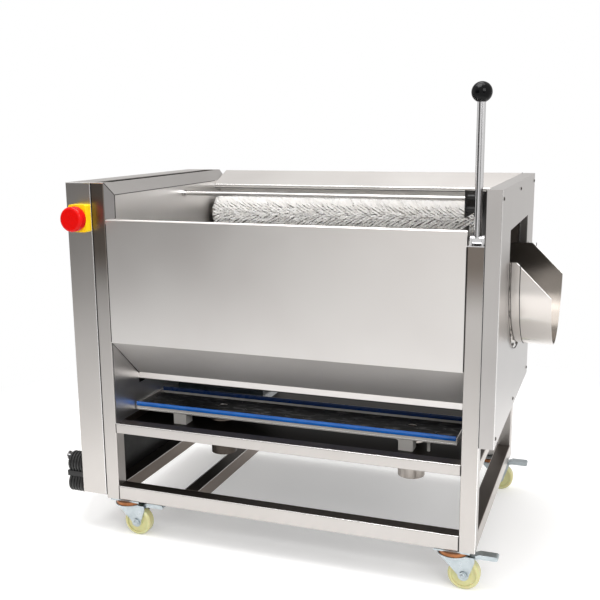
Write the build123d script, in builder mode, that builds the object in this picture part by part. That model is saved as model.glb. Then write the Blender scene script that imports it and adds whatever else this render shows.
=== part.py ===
"""Electric potato peeler: a brush-roller washing and peeling machine on castors.

Millimetres. The origin is under the middle of the machine, on the floor: +X runs along the rollers
from the drive housing to the discharge chute, +Y runs to the back and +Z up. Sizes are given from
the left front corner of the frame, at floor level; place() moves them to the origin.
"""
import os
from math import atan2, cos, degrees, hypot, pi, radians, sin, tan

from build123d import *

os.makedirs("parts", exist_ok=True)

# ---------------------------------------------------------------- driving dimensions
# frame of square tube
TUBE = 38.0
TUBE_WALL = 1.5
TUBE_RADIUS = 3.0
FRAME_WIDTH = 970.0
FRAME_FLOOR = 100.0  # underside of the frame: the castors' height
FRAME_TOP = 930.0
REAR_RIGHT_TOP = 908.0  # under the hood's flange
LEFT_RAIL_DEPTH = 310.0  # the left middle rail stops short of the motor
MIDDLE_RAIL_BOTTOM = 284.0
MIDDLE_RAIL_HEIGHT = 26.0
CROSS_RAIL_X = 213.0
VENT_RADIUS = 3.0
VENT_INSET = 20.0
SHEET = 2.0  # stainless sheet
SEAT = 0.3  # gap that keeps curved neighbours apart

# drive housing and the plate between it and the frame
HOUSING_WIDTH = 71.0
HOUSING_BOTTOM = 108.0
DRIVE_PLATE = 3.0

# trough
LEFT_WALL_X = 60.0
END_PLATE_INSET = 65.0  # from the frame's right side
END_PLATE = 3.0
LIP_BOTTOM = 827.0
LIP_HEIGHT = 14.0
LIP_DEPTH = 12.0
LIP_ROUND = 5.5
FOLD_Z = 526.0
SLOPE_RUN = 124.0
SLOPE_FOOT_Z = 416.0
SLOPE_FLANGE = 16.0
FUNNEL_FOOT_Z = 900.0
FUNNEL_FOOT_Y = 12.0
BACK_FOLD_Z = 560.0
BACK_SLOPE_Y = 244.0
BACK_SLOPE_Z = 400.0
BACK_FLANGE = 14.0
BACK_TOP = 880.0
SKIRT_DEPTH = 345.0

# discharge notch in the right end plate, and the gate that covers it
NOTCH_FRONT = 168.0
NOTCH_BACK = 412.0
NOTCH_BOTTOM = 634.0
NOTCH_CORNER = 40.0
FRONT_ARM_TOP = 836.0
GATE = 3.0
GATE_GAP = 15.0  # end plate to gate: room for the bearing flanges
GATE_LAP = 16.0
GATE_ARM_FRONT = 10.0
GATE_ARM_BOTTOM = 867.0
GATE_TOP_FRONT = 926.0
GATE_TOP_BACK = 892.0

# lever
RIGHT_UPRIGHT_TOP = 806.0
PIVOT_Z = 819.0
PIVOT_RADIUS = 5.0
ROD_RADIUS = 9.0
HUB_RADIUS = 10.0
HUB_WIDTH = 20.0
EAR = 4.0
EAR_GAP = 0.5
EAR_BASE = 2.0
KNOB_RADIUS = 22.0
KNOB_Z = 1129.0
CLAMP_Z = (884.0, 910.0)
CLAMP_RADIUS = 6.0
ROD_IN_KNOB = 14.0
RUNNING_FIT = 0.05

# hood over the back roller
HOOD_DEPTH = 85.0  # from its front edge to the back of the frame
HOOD_FRONT_Z = 891.0
HOOD_BACK_Z = 928.0
HOOD_HEM = 11.0
HOOD_BACK_FLANGE = 110.0
HOOD_INSET = 2.0  # from the frame's right side

# brush rollers, set round an arc
ROLLERS = 9
CHAIN_PITCH = 12.7
ROLLER_LINKS = 8  # chain pitches between neighbouring rollers
ARC_CENTRE_Z = 790.0
ARC_FRONT = 10.0  # brushes to the frame's front
ARC_BACK_GAP = 2.0  # brushes to the back panel
ARC_RADIUS = 259.0
ARC_TILT = 3.0
BRUSH_RADIUS = 50.0
BRUSH_LEFT = 70.0
BRUSH_END_GAP = 12.0  # brushes to the right end plate
CORE_RADIUS = 30.0
SHAFT_RADIUS = 10.0
BEARING_RADIUS = 21.0
BEARING_DEPTH = 11.0

# chain drive
TEETH = 13
TOOTH_WIDTH = 7.2
CHAIN_ROLLER_RADIUS = 4.3
TIP_ALLOWANCE = 2.6
LANE_PITCH = 14.0
FIRST_LANE_X = -18.0
LINK_PLATE = 1.6
LINK_HEIGHT = 11.8
PIN_RADIUS = 2.2
SPROCKET_HUB_RADIUS = 17.0
MOTOR_LINKS = 20
MOTOR_ROLLER = 5  # the roller, counted from 0, that the motor's chain turns
SHAFT_CLEARANCE = 2.0
SHAFT_PROUD = 1.0  # past the right bearings

# gear motor
GEARBOX = 112.0
GEARBOX_LENGTH = 96.0
GEARBOX_EDGE = 14.0
MOTOR_RADIUS = 56.0
MOTOR_LENGTH = 150.0
MOTOR_FIN = 5.0
MOTOR_FIN_WIDTH = 3.0
MOTOR_FINS = 24
FAN_COVER = 40.0
MOTOR_FLANGE = 12.0
MOTOR_FLANGE_SIZE = 132.0
MOTOR_SHAFT_RADIUS = 12.0
MOTOR_SHAFT_IN = 30.0
TERMINAL_BOX = (80.0, 60.0, 24.0)

# spray pipe
PIPE_Y = 376.0
PIPE_Z = 878.0
PIPE_RADIUS = 6.0
PIPE_WALL = 1.0
PIPE_BEND = 30.0
INLET_X = -30.0
INLET_RADIUS = 10.475  # half-inch pipe thread
INLET_LENGTH = 18.0
INLET_BORE = 7.0
INLET_HEX = 14.0
INLET_HEX_DEPTH = 8.0
PIPE_NUT_RADIUS = 9.0
PIPE_NUT = 9.0
PIPE_TAB = (364.0, 868.0, 888.0)  # front, bottom and top of the tab that holds the pipe
JETS = 14
JET_RADIUS = 1.25
JET_PITCH = 55.0

# end cover and chute
COVER_DEPTH = 34.0
COVER_BOTTOM = 355.0
COVER_TOP = 928.0
CHUTE_Y = 341.0
CHUTE_Z = 711.0
CHUTE_RADIUS = 183.0
OPENING_TOP = 826.0
CHUTE_INSIDE = 70.0  # how far its collar reaches in from the cover's face
CHUTE_FLAT = 16.0
CHUTE_COLLAR = 25.0
CHUTE_REACH = 96.0  # from the cover's face to its mouth
CHUTE_RIM_Z = 752.0
CHUTE_MOUTH_Z = 672.0
CHUTE_STEP = 1.5
CHUTE_FLANGE = 16.0
SCREW_RADIUS = 4.5
SCREW_HEAD = 2.6
COVER_SCREW_INSET = 20.0
FLANGE_SCREWS = 9
FLANGE_SCREW_STEP = 21.0

# drain tray and its pipes
TRAY_FRONT = 100.0
TRAY_DEPTH = 150.0
TRAY_BOTTOM = 319.0
TRAY_HEIGHT = 16.0
TRAY_GAP = 4.0
TRIM_WIDTH = 6.0
TRIM_HEIGHT = 12.0
MAT = 2.0
LEFT_DRAIN_X = 252.0
RIGHT_DRAIN_INSET = 196.0  # from the frame's right side
DRAIN_Y = 200.0
DRAIN_RADIUS = 34.0
DRAIN_WALL = 2.0
DRAIN_BOTTOM = 192.0
DRAIN_HOLE_RADIUS = 12.0  # in the tray and its mat
TRAY_LEG_Y = 102.0
LEFT_LEG_X = 153.0
RIGHT_LEG_INSET = 207.0  # from the frame's right side
TRAY_LEG = 36.0
POST_INSET = 136.0
TRAY_LEG_WALL = 1.5
TRAY_POST_RADIUS = 4.0

# shelf under the tray, cut away round the motor and the drain pipes
SHELF_TOP = 290.0
SHELF_CUT_X = 312.0
SHELF_CUT_Y = (350.0, 512.0)
SHELF_HOLE_GAP = 8.0

# castors
CASTOR_X = 53.0
CASTOR_Y = 28.0
CASTOR_TRAIL = 26.0
WHEEL_RADIUS = 37.5
WHEEL_WIDTH = 27.0
WHEEL_EDGE = 4.0
WHEEL_HUB_RADIUS = 15.0
WHEEL_HUB_PROUD = 1.5
WHEEL_DISH = 3.0
WHEEL_DISH_RADIUS = 29.0
AXLE_RADIUS = 6.0
AXLE_HEAD_RADIUS = 10.0
AXLE_HEAD = 4.0
PLATE = (84.0, 56.0, 4.0)
RACE_RADIUS = 36.0
RACE_BOTTOM = 88.0
KINGPIN_RADIUS = 6.0
KINGPIN_HEAD_RADIUS = 10.0
KINGPIN_HEAD = 3.0
KINGPIN_GAP = 0.5
PLATE_SCREW_INSET = 6.0
FORK_TOP = 87.5
FORK_DISC = 3.0
FORK_DISC_RADIUS = 38.0
FORK_CHEEK = 2.5
FORK_GAP = 2.0
FORK_FOOT_RADIUS = 13.0
FORK_SIDE = (-32.0, 51.0)  # the cheeks run from here to here along the disc
FORK_EAR = 7.0
PEDAL_X = 44.0
PEDAL_Z = 79.0
PEDAL_PIN_RADIUS = 3.0
PEDAL_RISE = (17.0, 11.0)  # from the pin to the pedal's level part
PEDAL_LENGTH = 54.0
PEDAL_WIDTH = 24.0
PEDAL_THICKNESS = 4.0
PEDAL_SKIRT = 9.0
PEDAL_BARREL = 5.5
PEDAL_TIP_RADIUS = 5.5

# emergency stop
STOP_X = -26.0
STOP_Z = 843.0
STOP_BOX = (48.0, 68.0, 25.0)
STOP_EDGE = 5.0
STOP_STEM_RADIUS = 11.0
STOP_CAP_RADIUS = 31.0
STOP_CAP_BACK = 33.0
STOP_CAP_DEPTH = 23.0
STOP_COLLAR_RADIUS = 17.0
STOP_COLLAR = 2.0
STOP_TRAVEL = 5.0
STOP_STEM_IN = 6.0
STOP_ROUND = 7.0

# supply cord
CORD_RADIUS = 4.0
HANK_TURNS = 6
HANK_X = -83.0  # centre of the first turn
HANK_Y = 36.0
HANK_TOP = 204.0
HANK_FOLD = 24.0  # bend radius of each fold
HANK_WAIST = 15.0  # half width of a turn where the tie holds it
TIE = 1.5
TIE_HEIGHT = 14.0
TIE_CLEARANCE = 1.6
HOOK_RADIUS = 6.0
HOOK_LENGTH = 62.0
HOOK_PLATE_RADIUS = 16.0
HOOK_PLATE = 3.0
HOOK_TIP = 12.0
GLAND_RADIUS = 12.0
GLAND_LENGTH = 10.0
RELIEF_RADIUS = 7.5
RELIEF_END_RADIUS = 5.0
PLUG_SIZE = (22.0, 36.0, 40.0)
PLUG_RELIEF = 28.0
PLUG_EDGE = 6.0
PLUG_PIN = (1.6, 6.3, 17.0)
PLUG_PIN_SPACING = 12.7
PLUG_ANGLE = 33.7  # from the vertical, towards the back
PLUG_START = (62.0, 180.0)
CORD_ROUTE = [
    (-103.0, 215.0, 190.0), (-124.0, 215.0, 190.0), (-144.0, 211.0, 180.0), (-157.0, 201.0, 161.0),
    (-158.0, 184.0, 139.0), (-152.0, 162.0, 121.5), (-145.0, 137.0, 110.0), (-137.5, 110.0, 103.0),
    (-130.0, 82.0, 99.0), (-123.0, 52.0, 97.5),
]

# ---------------------------------------------------------------- worked-out places
BACK_PANEL_Y = ARC_FRONT + 2 * (BRUSH_RADIUS + ARC_RADIUS) + ARC_BACK_GAP
FRAME_DEPTH = BACK_PANEL_Y + SHEET + TUBE
ARC_CENTRE_Y = ARC_FRONT + BRUSH_RADIUS + ARC_RADIUS
END_PLATE_X = FRAME_WIDTH - END_PLATE_INSET
BRUSH_RIGHT = END_PLATE_X - BRUSH_END_GAP
LEVER_X = FRAME_WIDTH - TUBE / 2
ROD_Y = TUBE / 2
HOOD_FRONT_Y = FRAME_DEPTH - HOOD_DEPTH
HOOD_RIGHT = FRAME_WIDTH - HOOD_INSET
COVER_X = FRAME_WIDTH + COVER_DEPTH
CHUTE_INNER_X = COVER_X - CHUTE_INSIDE
CHUTE_FLAT_X = COVER_X + CHUTE_FLAT
CHUTE_BODY_X = COVER_X + CHUTE_COLLAR
CHUTE_END_X = COVER_X + CHUTE_REACH
DRAIN_X = (LEFT_DRAIN_X, FRAME_WIDTH - RIGHT_DRAIN_INSET)
TRAY_LEGS_X = (LEFT_LEG_X, FRAME_WIDTH - RIGHT_LEG_INSET)
LEFT_OUT = HOUSING_WIDTH + HOOK_PLATE + HOOK_LENGTH
STOP_FRONT = STOP_CAP_BACK + STOP_CAP_DEPTH
BACK_OUT = FRAME_DEPTH + INLET_HEX_DEPTH + INLET_LENGTH
MID_X = (CHUTE_END_X - LEFT_OUT) / 2
MID_Y = (BACK_OUT - STOP_FRONT) / 2
LEFT_IN = TUBE
RIGHT_IN = FRAME_WIDTH - TUBE
BACK_IN = FRAME_DEPTH - TUBE
MIDDLE_RAIL_TOP = MIDDLE_RAIL_BOTTOM + MIDDLE_RAIL_HEIGHT
GATE_X = END_PLATE_X + END_PLATE + GATE_GAP
SHAFT_RIGHT = END_PLATE_X + END_PLATE + BEARING_DEPTH + SHAFT_PROUD
LANES_X = [FIRST_LANE_X - lane * LANE_PITCH for lane in range(3)]
SHAFT_LEFT = LANES_X[-1] - LANE_PITCH / 2
SPROCKET_RADIUS = CHAIN_PITCH / (2 * sin(pi / TEETH))
TIP_RADIUS = SPROCKET_RADIUS + TIP_ALLOWANCE
LINK_PLATE_X = TOOTH_WIDTH / 2 + SEAT  # sprocket's middle to the link plate
HANK_RIGHT = HANK_X + CORD_RADIUS
HANK_LEFT = HANK_X - (2 * HANK_TURNS - 1) * CORD_RADIUS


def place(x, y, z):
    """A point measured from the frame's left front corner, in the part's own frame."""
    return (x - MID_X, y - MID_Y, z)


def side_plane(x):
    """Plane across the machine at x: its own axes are Y and Z, and it faces +X."""
    return Plane(origin=place(x, 0, 0), x_dir=(0, 1, 0), z_dir=(1, 0, 0))


def front_plane(y):
    """Plane along the machine at y: its own axes are X and Z, and it faces -Y."""
    return Plane(origin=place(0, y, 0), x_dir=(1, 0, 0), z_dir=(0, -1, 0))


def level_plane(z):
    """Level plane at height z: its own axes are X and Y, and it faces +Z."""
    return Plane(origin=place(0, 0, z), x_dir=(1, 0, 0), z_dir=(0, 0, 1))


def block(x, y, z, mode=Mode.ADD):
    """Add a box between (low, high) pairs in X, Y and Z."""
    with Locations(place((x[0] + x[1]) / 2, (y[0] + y[1]) / 2, (z[0] + z[1]) / 2)):
        Box(x[1] - x[0], y[1] - y[0], z[1] - z[0], mode=mode)


def rod(plane, centres, radius, length, mode=Mode.ADD):
    """Extrude round bars from points of the plane along the plane's normal."""
    with BuildSketch(plane) as circle:
        with Locations(*centres):
            Circle(radius)
    extrude(circle.sketch, amount=length, mode=mode)


def ring(plane, centre, outer, inner, length):
    """Extrude a tube from a point of the plane along the plane's normal."""
    with BuildSketch(plane) as circle:
        with Locations(centre):
            Circle(outer)
            Circle(inner, mode=Mode.SUBTRACT)
    extrude(circle.sketch, amount=length)


def prism(plane, points, length, mode=Mode.ADD):
    """Extrude a closed outline from the plane along the plane's normal."""
    with BuildSketch(plane) as outline:
        with BuildLine():
            Polyline(*points, close=True)
        make_face()
    extrude(outline.sketch, amount=length, mode=mode)


def square_tube(plane, centre, length, height=TUBE):
    """Extrude a hollow rounded tube from the plane, along its normal."""
    with BuildSketch(plane) as section:
        with Locations(centre):
            RectangleRounded(TUBE, height, TUBE_RADIUS)
            RectangleRounded(TUBE - 2 * TUBE_WALL, height - 2 * TUBE_WALL,
                             TUBE_RADIUS - TUBE_WALL, mode=Mode.SUBTRACT)
    extrude(section.sketch, amount=length)


def parallel(points, gap):
    """The corners of an open line moved sideways by gap, to the left of its direction."""
    heads = []
    for (u0, v0), (u1, v1) in zip(points, points[1:]):
        length = hypot(u1 - u0, v1 - v0)
        heads.append(((u1 - u0) / length, (v1 - v0) / length))
    moved = []
    for index, (u, v) in enumerate(points):
        before = heads[max(index - 1, 0)]
        after = heads[min(index, len(heads) - 1)]
        normal = (-before[1] - after[1], before[0] + after[0])
        reach = before[0] * normal[1] - before[1] * normal[0]
        moved.append((u + gap * normal[0] / reach, v + gap * normal[1] / reach))
    return moved


def folded_sheet(plane, points, length, gap=SHEET):
    """Extrude a folded sheet: its outer line in the plane and its thickness to the left."""
    prism(plane, [*points, *reversed(parallel(points, gap))], length)


def roller_centres():
    """Axes of the rollers in (Y, Z), a whole number of chain pitches apart, front to back."""
    half = ROLLER_LINKS * CHAIN_PITCH / 2
    step = 2 * atan2(half, (ARC_RADIUS**2 - half**2) ** 0.5)
    centres = []
    for index in range(ROLLERS):
        angle = (index - (ROLLERS - 1) / 2) * step + radians(ARC_TILT)
        centres.append((ARC_CENTRE_Y + ARC_RADIUS * sin(angle),
                        ARC_CENTRE_Z - ARC_RADIUS * cos(angle)))
    return centres


CENTRES = roller_centres()
MOTOR_CENTRE = (CENTRES[MOTOR_ROLLER][0], CENTRES[MOTOR_ROLLER][1] - MOTOR_LINKS * CHAIN_PITCH)
FRONT_LINE = [(0, LIP_BOTTOM), (0, FOLD_Z), (SLOPE_RUN, SLOPE_FOOT_Z),
              (SLOPE_RUN, SLOPE_FOOT_Z - SLOPE_FLANGE)]
BACK_LINE = [(BACK_SLOPE_Y, BACK_SLOPE_Z - BACK_FLANGE), (BACK_SLOPE_Y, BACK_SLOPE_Z),
             (BACK_IN, BACK_FOLD_Z), (BACK_IN, BACK_TOP)]
INNER_FRONT = parallel(FRONT_LINE, SHEET)
INNER_BACK = parallel(BACK_LINE, SHEET)
TROUGH_FOOT = SLOPE_FOOT_Z - SLOPE_FLANGE
FRONT_EDGE = [(LIP_DEPTH + SEAT, LIP_BOTTOM - SEAT), (SHEET, LIP_BOTTOM - SEAT), INNER_FRONT[1],
              INNER_FRONT[2], (INNER_FRONT[2][0], TROUGH_FOOT)]
BACK_EDGE = [(INNER_BACK[0][0], TROUGH_FOOT), INNER_BACK[1], INNER_BACK[2]]
INNER_BACK_Y = BACK_IN - SHEET


# ---------------------------------------------------------------- frame
def ladder(y, left_top, right_top):
    """Two capped uprights with a bottom and a middle rail between them, welded into one."""
    middle = y + TUBE / 2
    for x, top in ((TUBE / 2, left_top), (FRAME_WIDTH - TUBE / 2, right_top)):
        square_tube(level_plane(FRAME_FLOOR), (x, middle), top - FRAME_FLOOR)
        inside = TUBE / 2 - TUBE_WALL
        block((x - inside, x + inside), (middle - inside, middle + inside), (top - TUBE_WALL, top))
    for bottom, height in ((FRAME_FLOOR, TUBE), (MIDDLE_RAIL_BOTTOM, MIDDLE_RAIL_HEIGHT)):
        square_tube(side_plane(LEFT_IN), (middle, bottom + height / 2), RIGHT_IN - LEFT_IN, height)
        vents = [(LEFT_IN + VENT_INSET, middle), (RIGHT_IN - VENT_INSET, middle)]
        rod(level_plane(bottom), vents, VENT_RADIUS, TUBE_WALL, Mode.SUBTRACT)


with BuildPart() as frame_front:
    ladder(0, FRAME_TOP, RIGHT_UPRIGHT_TOP)
frame_front.part.label = "frame_front"
export_step(frame_front.part, "parts/frame_front.step")

with BuildPart() as frame_back:
    ladder(BACK_IN, FRAME_TOP, REAR_RIGHT_TOP)
frame_back.part.label = "frame_back"
export_step(frame_back.part, "parts/frame_back.step")


def side_rail(x, bottom, depth, height=TUBE):
    """A vented tube that runs back from the front uprights' plane."""
    facing_back = Plane(origin=place(0, TUBE, 0), x_dir=(-1, 0, 0), z_dir=(0, 1, 0))
    square_tube(facing_back, (-x, bottom + height / 2), depth, height)
    vents = [(x, TUBE + VENT_INSET), (x, TUBE + depth - VENT_INSET)]
    rod(level_plane(bottom), vents, VENT_RADIUS, TUBE_WALL, Mode.SUBTRACT)


with BuildPart() as side_rails:
    for rail_x in (TUBE / 2, CROSS_RAIL_X + TUBE / 2, FRAME_WIDTH - TUBE / 2):
        side_rail(rail_x, FRAME_FLOOR, BACK_IN - TUBE)
    side_rail(TUBE / 2, MIDDLE_RAIL_BOTTOM, LEFT_RAIL_DEPTH, MIDDLE_RAIL_HEIGHT)
    side_rail(FRAME_WIDTH - TUBE / 2, MIDDLE_RAIL_BOTTOM, BACK_IN - TUBE, MIDDLE_RAIL_HEIGHT)
side_rails.part.label = "side_rails"
export_step(side_rails.part, "parts/side_rails.step")

# ---------------------------------------------------------------- drive housing
with BuildPart() as drive_housing:
    block((-HOUSING_WIDTH, 0), (0, FRAME_DEPTH), (HOUSING_BOTTOM, FRAME_TOP))
    block((SHEET - HOUSING_WIDTH, 0), (SHEET, FRAME_DEPTH - SHEET),
          (HOUSING_BOTTOM + SHEET, FRAME_TOP - SHEET), Mode.SUBTRACT)
    rod(front_plane(FRAME_DEPTH), [(INLET_X, PIPE_Z)], PIPE_RADIUS + SHAFT_CLEARANCE, SHEET,
        Mode.SUBTRACT)
drive_housing.part.label = "drive_housing"
export_step(drive_housing.part, "parts/drive_housing.step")

with BuildPart() as drive_plate:
    block((-DRIVE_PLATE, 0), (SHEET, FRAME_DEPTH - SHEET),
          (HOUSING_BOTTOM + SHEET, FRAME_TOP - SHEET))
    rod(side_plane(-DRIVE_PLATE), CENTRES, SHAFT_RADIUS + SHAFT_CLEARANCE, DRIVE_PLATE,
        Mode.SUBTRACT)
    rod(side_plane(-DRIVE_PLATE), [MOTOR_CENTRE], MOTOR_SHAFT_RADIUS + SHAFT_CLEARANCE,
        DRIVE_PLATE, Mode.SUBTRACT)
    rod(side_plane(-DRIVE_PLATE), [(PIPE_Y, PIPE_Z)], PIPE_RADIUS + SHAFT_CLEARANCE, DRIVE_PLATE,
        Mode.SUBTRACT)
drive_plate.part.label = "drive_plate"
export_step(drive_plate.part, "parts/drive_plate.step")

# ---------------------------------------------------------------- trough
with BuildPart() as front_panel:
    folded_sheet(side_plane(LEFT_IN), FRONT_LINE, RIGHT_IN - LEFT_IN)
    with BuildSketch(side_plane(LEFT_IN)):
        with Locations((LIP_DEPTH / 2, LIP_BOTTOM + LIP_HEIGHT / 2)):
            RectangleRounded(LIP_DEPTH, LIP_HEIGHT, LIP_ROUND)
    extrude(amount=RIGHT_IN - LEFT_IN)
    block((LEFT_IN, RIGHT_IN), (0, SHEET), (LIP_BOTTOM, LIP_BOTTOM + LIP_HEIGHT / 2))
front_panel.part.label = "front_panel"
export_step(front_panel.part, "parts/front_panel.step")

with BuildPart() as back_panel:
    folded_sheet(side_plane(LEFT_IN), BACK_LINE, RIGHT_IN - LEFT_IN)
back_panel.part.label = "back_panel"
export_step(back_panel.part, "parts/back_panel.step")

# sloped band at the trough's left end: one strip along the top, one beside the front upright
with BuildPart() as funnel_top:
    band = [(LEFT_IN, FRAME_TOP), (LEFT_WALL_X, FUNNEL_FOOT_Z)]
    folded_sheet(front_plane(FRAME_DEPTH), band, FRAME_DEPTH, -SHEET)
    corners = [(LEFT_IN, 0), (LEFT_WALL_X, FUNNEL_FOOT_Y), (LEFT_WALL_X, FRAME_DEPTH),
               (LEFT_IN, FRAME_DEPTH)]
    prism(level_plane(0), corners, FRAME_TOP, Mode.INTERSECT)

with BuildPart() as funnel_front:
    band = [(LEFT_IN, 0), (LEFT_WALL_X, FUNNEL_FOOT_Y)]
    lip_top = LIP_BOTTOM + LIP_HEIGHT
    folded_sheet(level_plane(lip_top), band, FRAME_TOP - lip_top)
    corners = [(LEFT_IN, lip_top), (LEFT_WALL_X, lip_top), (LEFT_WALL_X, FUNNEL_FOOT_Z),
               (LEFT_IN, FRAME_TOP)]
    prism(front_plane(BACK_IN), corners, BACK_IN, Mode.INTERSECT)

with BuildPart() as left_end_plate:
    corners = [(LIP_DEPTH + SEAT, FUNNEL_FOOT_Z), *FRONT_EDGE, *BACK_EDGE,
               (INNER_BACK_Y, FUNNEL_FOOT_Z)]
    prism(side_plane(LEFT_WALL_X - SHEET), corners, SHEET)
    add(funnel_top.part)
    add(funnel_front.part)
    rod(side_plane(LEFT_WALL_X - SHEET), CENTRES, SHAFT_RADIUS + SHAFT_CLEARANCE, SHEET,
        Mode.SUBTRACT)
    rod(side_plane(LEFT_WALL_X - SHEET), [(PIPE_Y, PIPE_Z)], PIPE_RADIUS + SHAFT_CLEARANCE, SHEET,
        Mode.SUBTRACT)

with BuildPart() as left_skirt:
    skirt_top = BACK_SLOPE_Z - BACK_FLANGE
    slope_at_front = FOLD_Z - SHEET * (FOLD_Z - SLOPE_FOOT_Z) / SLOPE_RUN
    corners = [(SHEET, MIDDLE_RAIL_TOP), (SHEET, slope_at_front), FRONT_LINE[2],
               (SLOPE_RUN, skirt_top), (SKIRT_DEPTH, skirt_top), (SKIRT_DEPTH, MIDDLE_RAIL_TOP)]
    prism(side_plane(LEFT_IN), corners, SHEET)
left_plates = Compound(children=[left_end_plate.part, left_skirt.part])
left_plates.label = "left_end_plate"
export_step(left_plates, "parts/left_end_plate.step")

with BuildPart() as right_end_plate:
    tab_front, tab_bottom, tab_top = PIPE_TAB
    arm_top = HOOD_FRONT_Z - HOOD_HEM - SEAT
    tab_back = NOTCH_BACK + NOTCH_CORNER
    corners = [(LIP_DEPTH + SEAT, FRONT_ARM_TOP), *FRONT_EDGE, *BACK_EDGE, (INNER_BACK_Y, arm_top),
               (tab_back, arm_top), (tab_back, tab_top), (tab_front, tab_top),
               (tab_front, tab_bottom), (NOTCH_BACK, tab_bottom),
               (NOTCH_BACK, NOTCH_BOTTOM), (NOTCH_FRONT, NOTCH_BOTTOM),
               (NOTCH_FRONT, FRONT_ARM_TOP)]
    prism(side_plane(END_PLATE_X), corners, END_PLATE)
    low_corners = (right_end_plate.edges().filter_by(Axis.X)
                   .filter_by_position(Axis.Z, NOTCH_BOTTOM, NOTCH_BOTTOM))
    fillet(low_corners, NOTCH_CORNER)
    rod(side_plane(END_PLATE_X), CENTRES, SHAFT_RADIUS + SHAFT_CLEARANCE, END_PLATE, Mode.SUBTRACT)
right_end_plate.part.label = "right_end_plate"
export_step(right_end_plate.part, "parts/right_end_plate.step")

with BuildPart() as hood:
    line = [(HOOD_FRONT_Y, HOOD_FRONT_Z - HOOD_HEM), (HOOD_FRONT_Y, HOOD_FRONT_Z),
            (FRAME_DEPTH + SHEET, HOOD_BACK_Z), (FRAME_DEPTH + SHEET, HOOD_BACK_Z - HOOD_BACK_FLANGE)]
    folded_sheet(side_plane(LEFT_WALL_X), line, HOOD_RIGHT - LEFT_WALL_X, -SHEET)
hood.part.label = "hood"
export_step(hood.part, "parts/hood.step")

# ---------------------------------------------------------------- spray pipe and water inlet
with BuildPart() as spray_pipe:
    with BuildLine() as route:
        FilletPolyline(place(END_PLATE_X, PIPE_Y, PIPE_Z), place(INLET_X, PIPE_Y, PIPE_Z),
                       place(INLET_X, FRAME_DEPTH + INLET_HEX_DEPTH, PIPE_Z), radius=PIPE_BEND)
    with BuildSketch(side_plane(END_PLATE_X)):
        with Locations((PIPE_Y, PIPE_Z)):
            Circle(PIPE_RADIUS)
            Circle(PIPE_RADIUS - PIPE_WALL, mode=Mode.SUBTRACT)
    sweep()
    rod(side_plane(END_PLATE_X - PIPE_WALL), [(PIPE_Y, PIPE_Z)], PIPE_RADIUS, PIPE_WALL)
    ring(side_plane(LEFT_WALL_X), (PIPE_Y, PIPE_Z), PIPE_NUT_RADIUS, PIPE_RADIUS - PIPE_WALL,
         PIPE_NUT)
    first_jet = (LEFT_WALL_X + END_PLATE_X - (JETS - 1) * JET_PITCH) / 2
    jets = [(first_jet + JET_PITCH * jet, PIPE_Y) for jet in range(JETS)]
    rod(level_plane(PIPE_Z - PIPE_RADIUS), jets, JET_RADIUS, PIPE_RADIUS, Mode.SUBTRACT)
    with BuildSketch(front_plane(FRAME_DEPTH + INLET_HEX_DEPTH)):
        with Locations((INLET_X, PIPE_Z)):
            RegularPolygon(INLET_HEX, 6, major_radius=False)
            Circle(PIPE_RADIUS - PIPE_WALL, mode=Mode.SUBTRACT)
    extrude(amount=INLET_HEX_DEPTH)
    ring(front_plane(BACK_OUT), (INLET_X, PIPE_Z), INLET_RADIUS, INLET_BORE, INLET_LENGTH)
spray_pipe.part.label = "spray_pipe"
export_step(spray_pipe.part, "parts/spray_pipe.step")


# ---------------------------------------------------------------- rollers and their drive
def sprocket(x, centre, bore=SHAFT_RADIUS):
    """A chain wheel whose middle is at x, bored for its shaft or boss."""
    with BuildSketch(side_plane(x - TOOTH_WIDTH / 2)) as teeth:
        with Locations(centre):
            Circle(TIP_RADIUS)
            Circle(bore, mode=Mode.SUBTRACT)
            with PolarLocations(SPROCKET_RADIUS, TEETH):
                Circle(CHAIN_ROLLER_RADIUS, mode=Mode.SUBTRACT)
    extrude(teeth.sketch, amount=TOOTH_WIDTH)


def roller_lanes(index):
    """Lanes of the chains that run on a roller."""
    lanes = {end % 2 for end in (index - 1, index) if 0 <= end < ROLLERS - 1}
    if index == MOTOR_ROLLER:
        lanes.add(2)
    return lanes


def roller(index):
    """A driven shaft with its chain wheels on a boss, a solid core and a sleeve of bristles."""
    centre = CENTRES[index]
    lanes = roller_lanes(index)
    boss_left = LANES_X[max(lanes)] - TOOTH_WIDTH / 2
    brush = side_plane(BRUSH_LEFT)
    brush_length = BRUSH_RIGHT - BRUSH_LEFT
    with BuildPart() as shaft:
        rod(side_plane(SHAFT_LEFT), [centre], SHAFT_RADIUS, SHAFT_RIGHT - SHAFT_LEFT)
    with BuildPart() as boss:
        ring(side_plane(boss_left), centre, SPROCKET_HUB_RADIUS, SHAFT_RADIUS,
             -DRIVE_PLATE - SHAFT_CLEARANCE - boss_left)
    with BuildPart() as wheels:
        for lane in lanes:
            sprocket(LANES_X[lane], centre, SPROCKET_HUB_RADIUS)
    with BuildPart() as core:
        ring(brush, centre, CORE_RADIUS, SHAFT_RADIUS, brush_length)
    with BuildPart() as bristles:
        ring(brush, centre, BRUSH_RADIUS, CORE_RADIUS, brush_length)
    parts = [shaft.part, boss.part, wheels.part, core.part, bristles.part]
    return Compound(children=[solid for part in parts for solid in part.solids()])


for index in range(ROLLERS):
    brush_roller = roller(index)
    brush_roller.label = f"roller_{index + 1}"
    export_step(brush_roller, f"parts/roller_{index + 1}.step")

with BuildPart() as shaft_bearings:
    for bearing_x in (0, END_PLATE_X + END_PLATE):
        with BuildSketch(side_plane(bearing_x)):
            with Locations(*CENTRES):
                Circle(BEARING_RADIUS)
                Circle(SHAFT_RADIUS + RUNNING_FIT, mode=Mode.SUBTRACT)
        extrude(amount=BEARING_DEPTH)
shaft_bearings.part.label = "shaft_bearings"
export_step(shaft_bearings.part, "parts/shaft_bearings.step")

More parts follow.
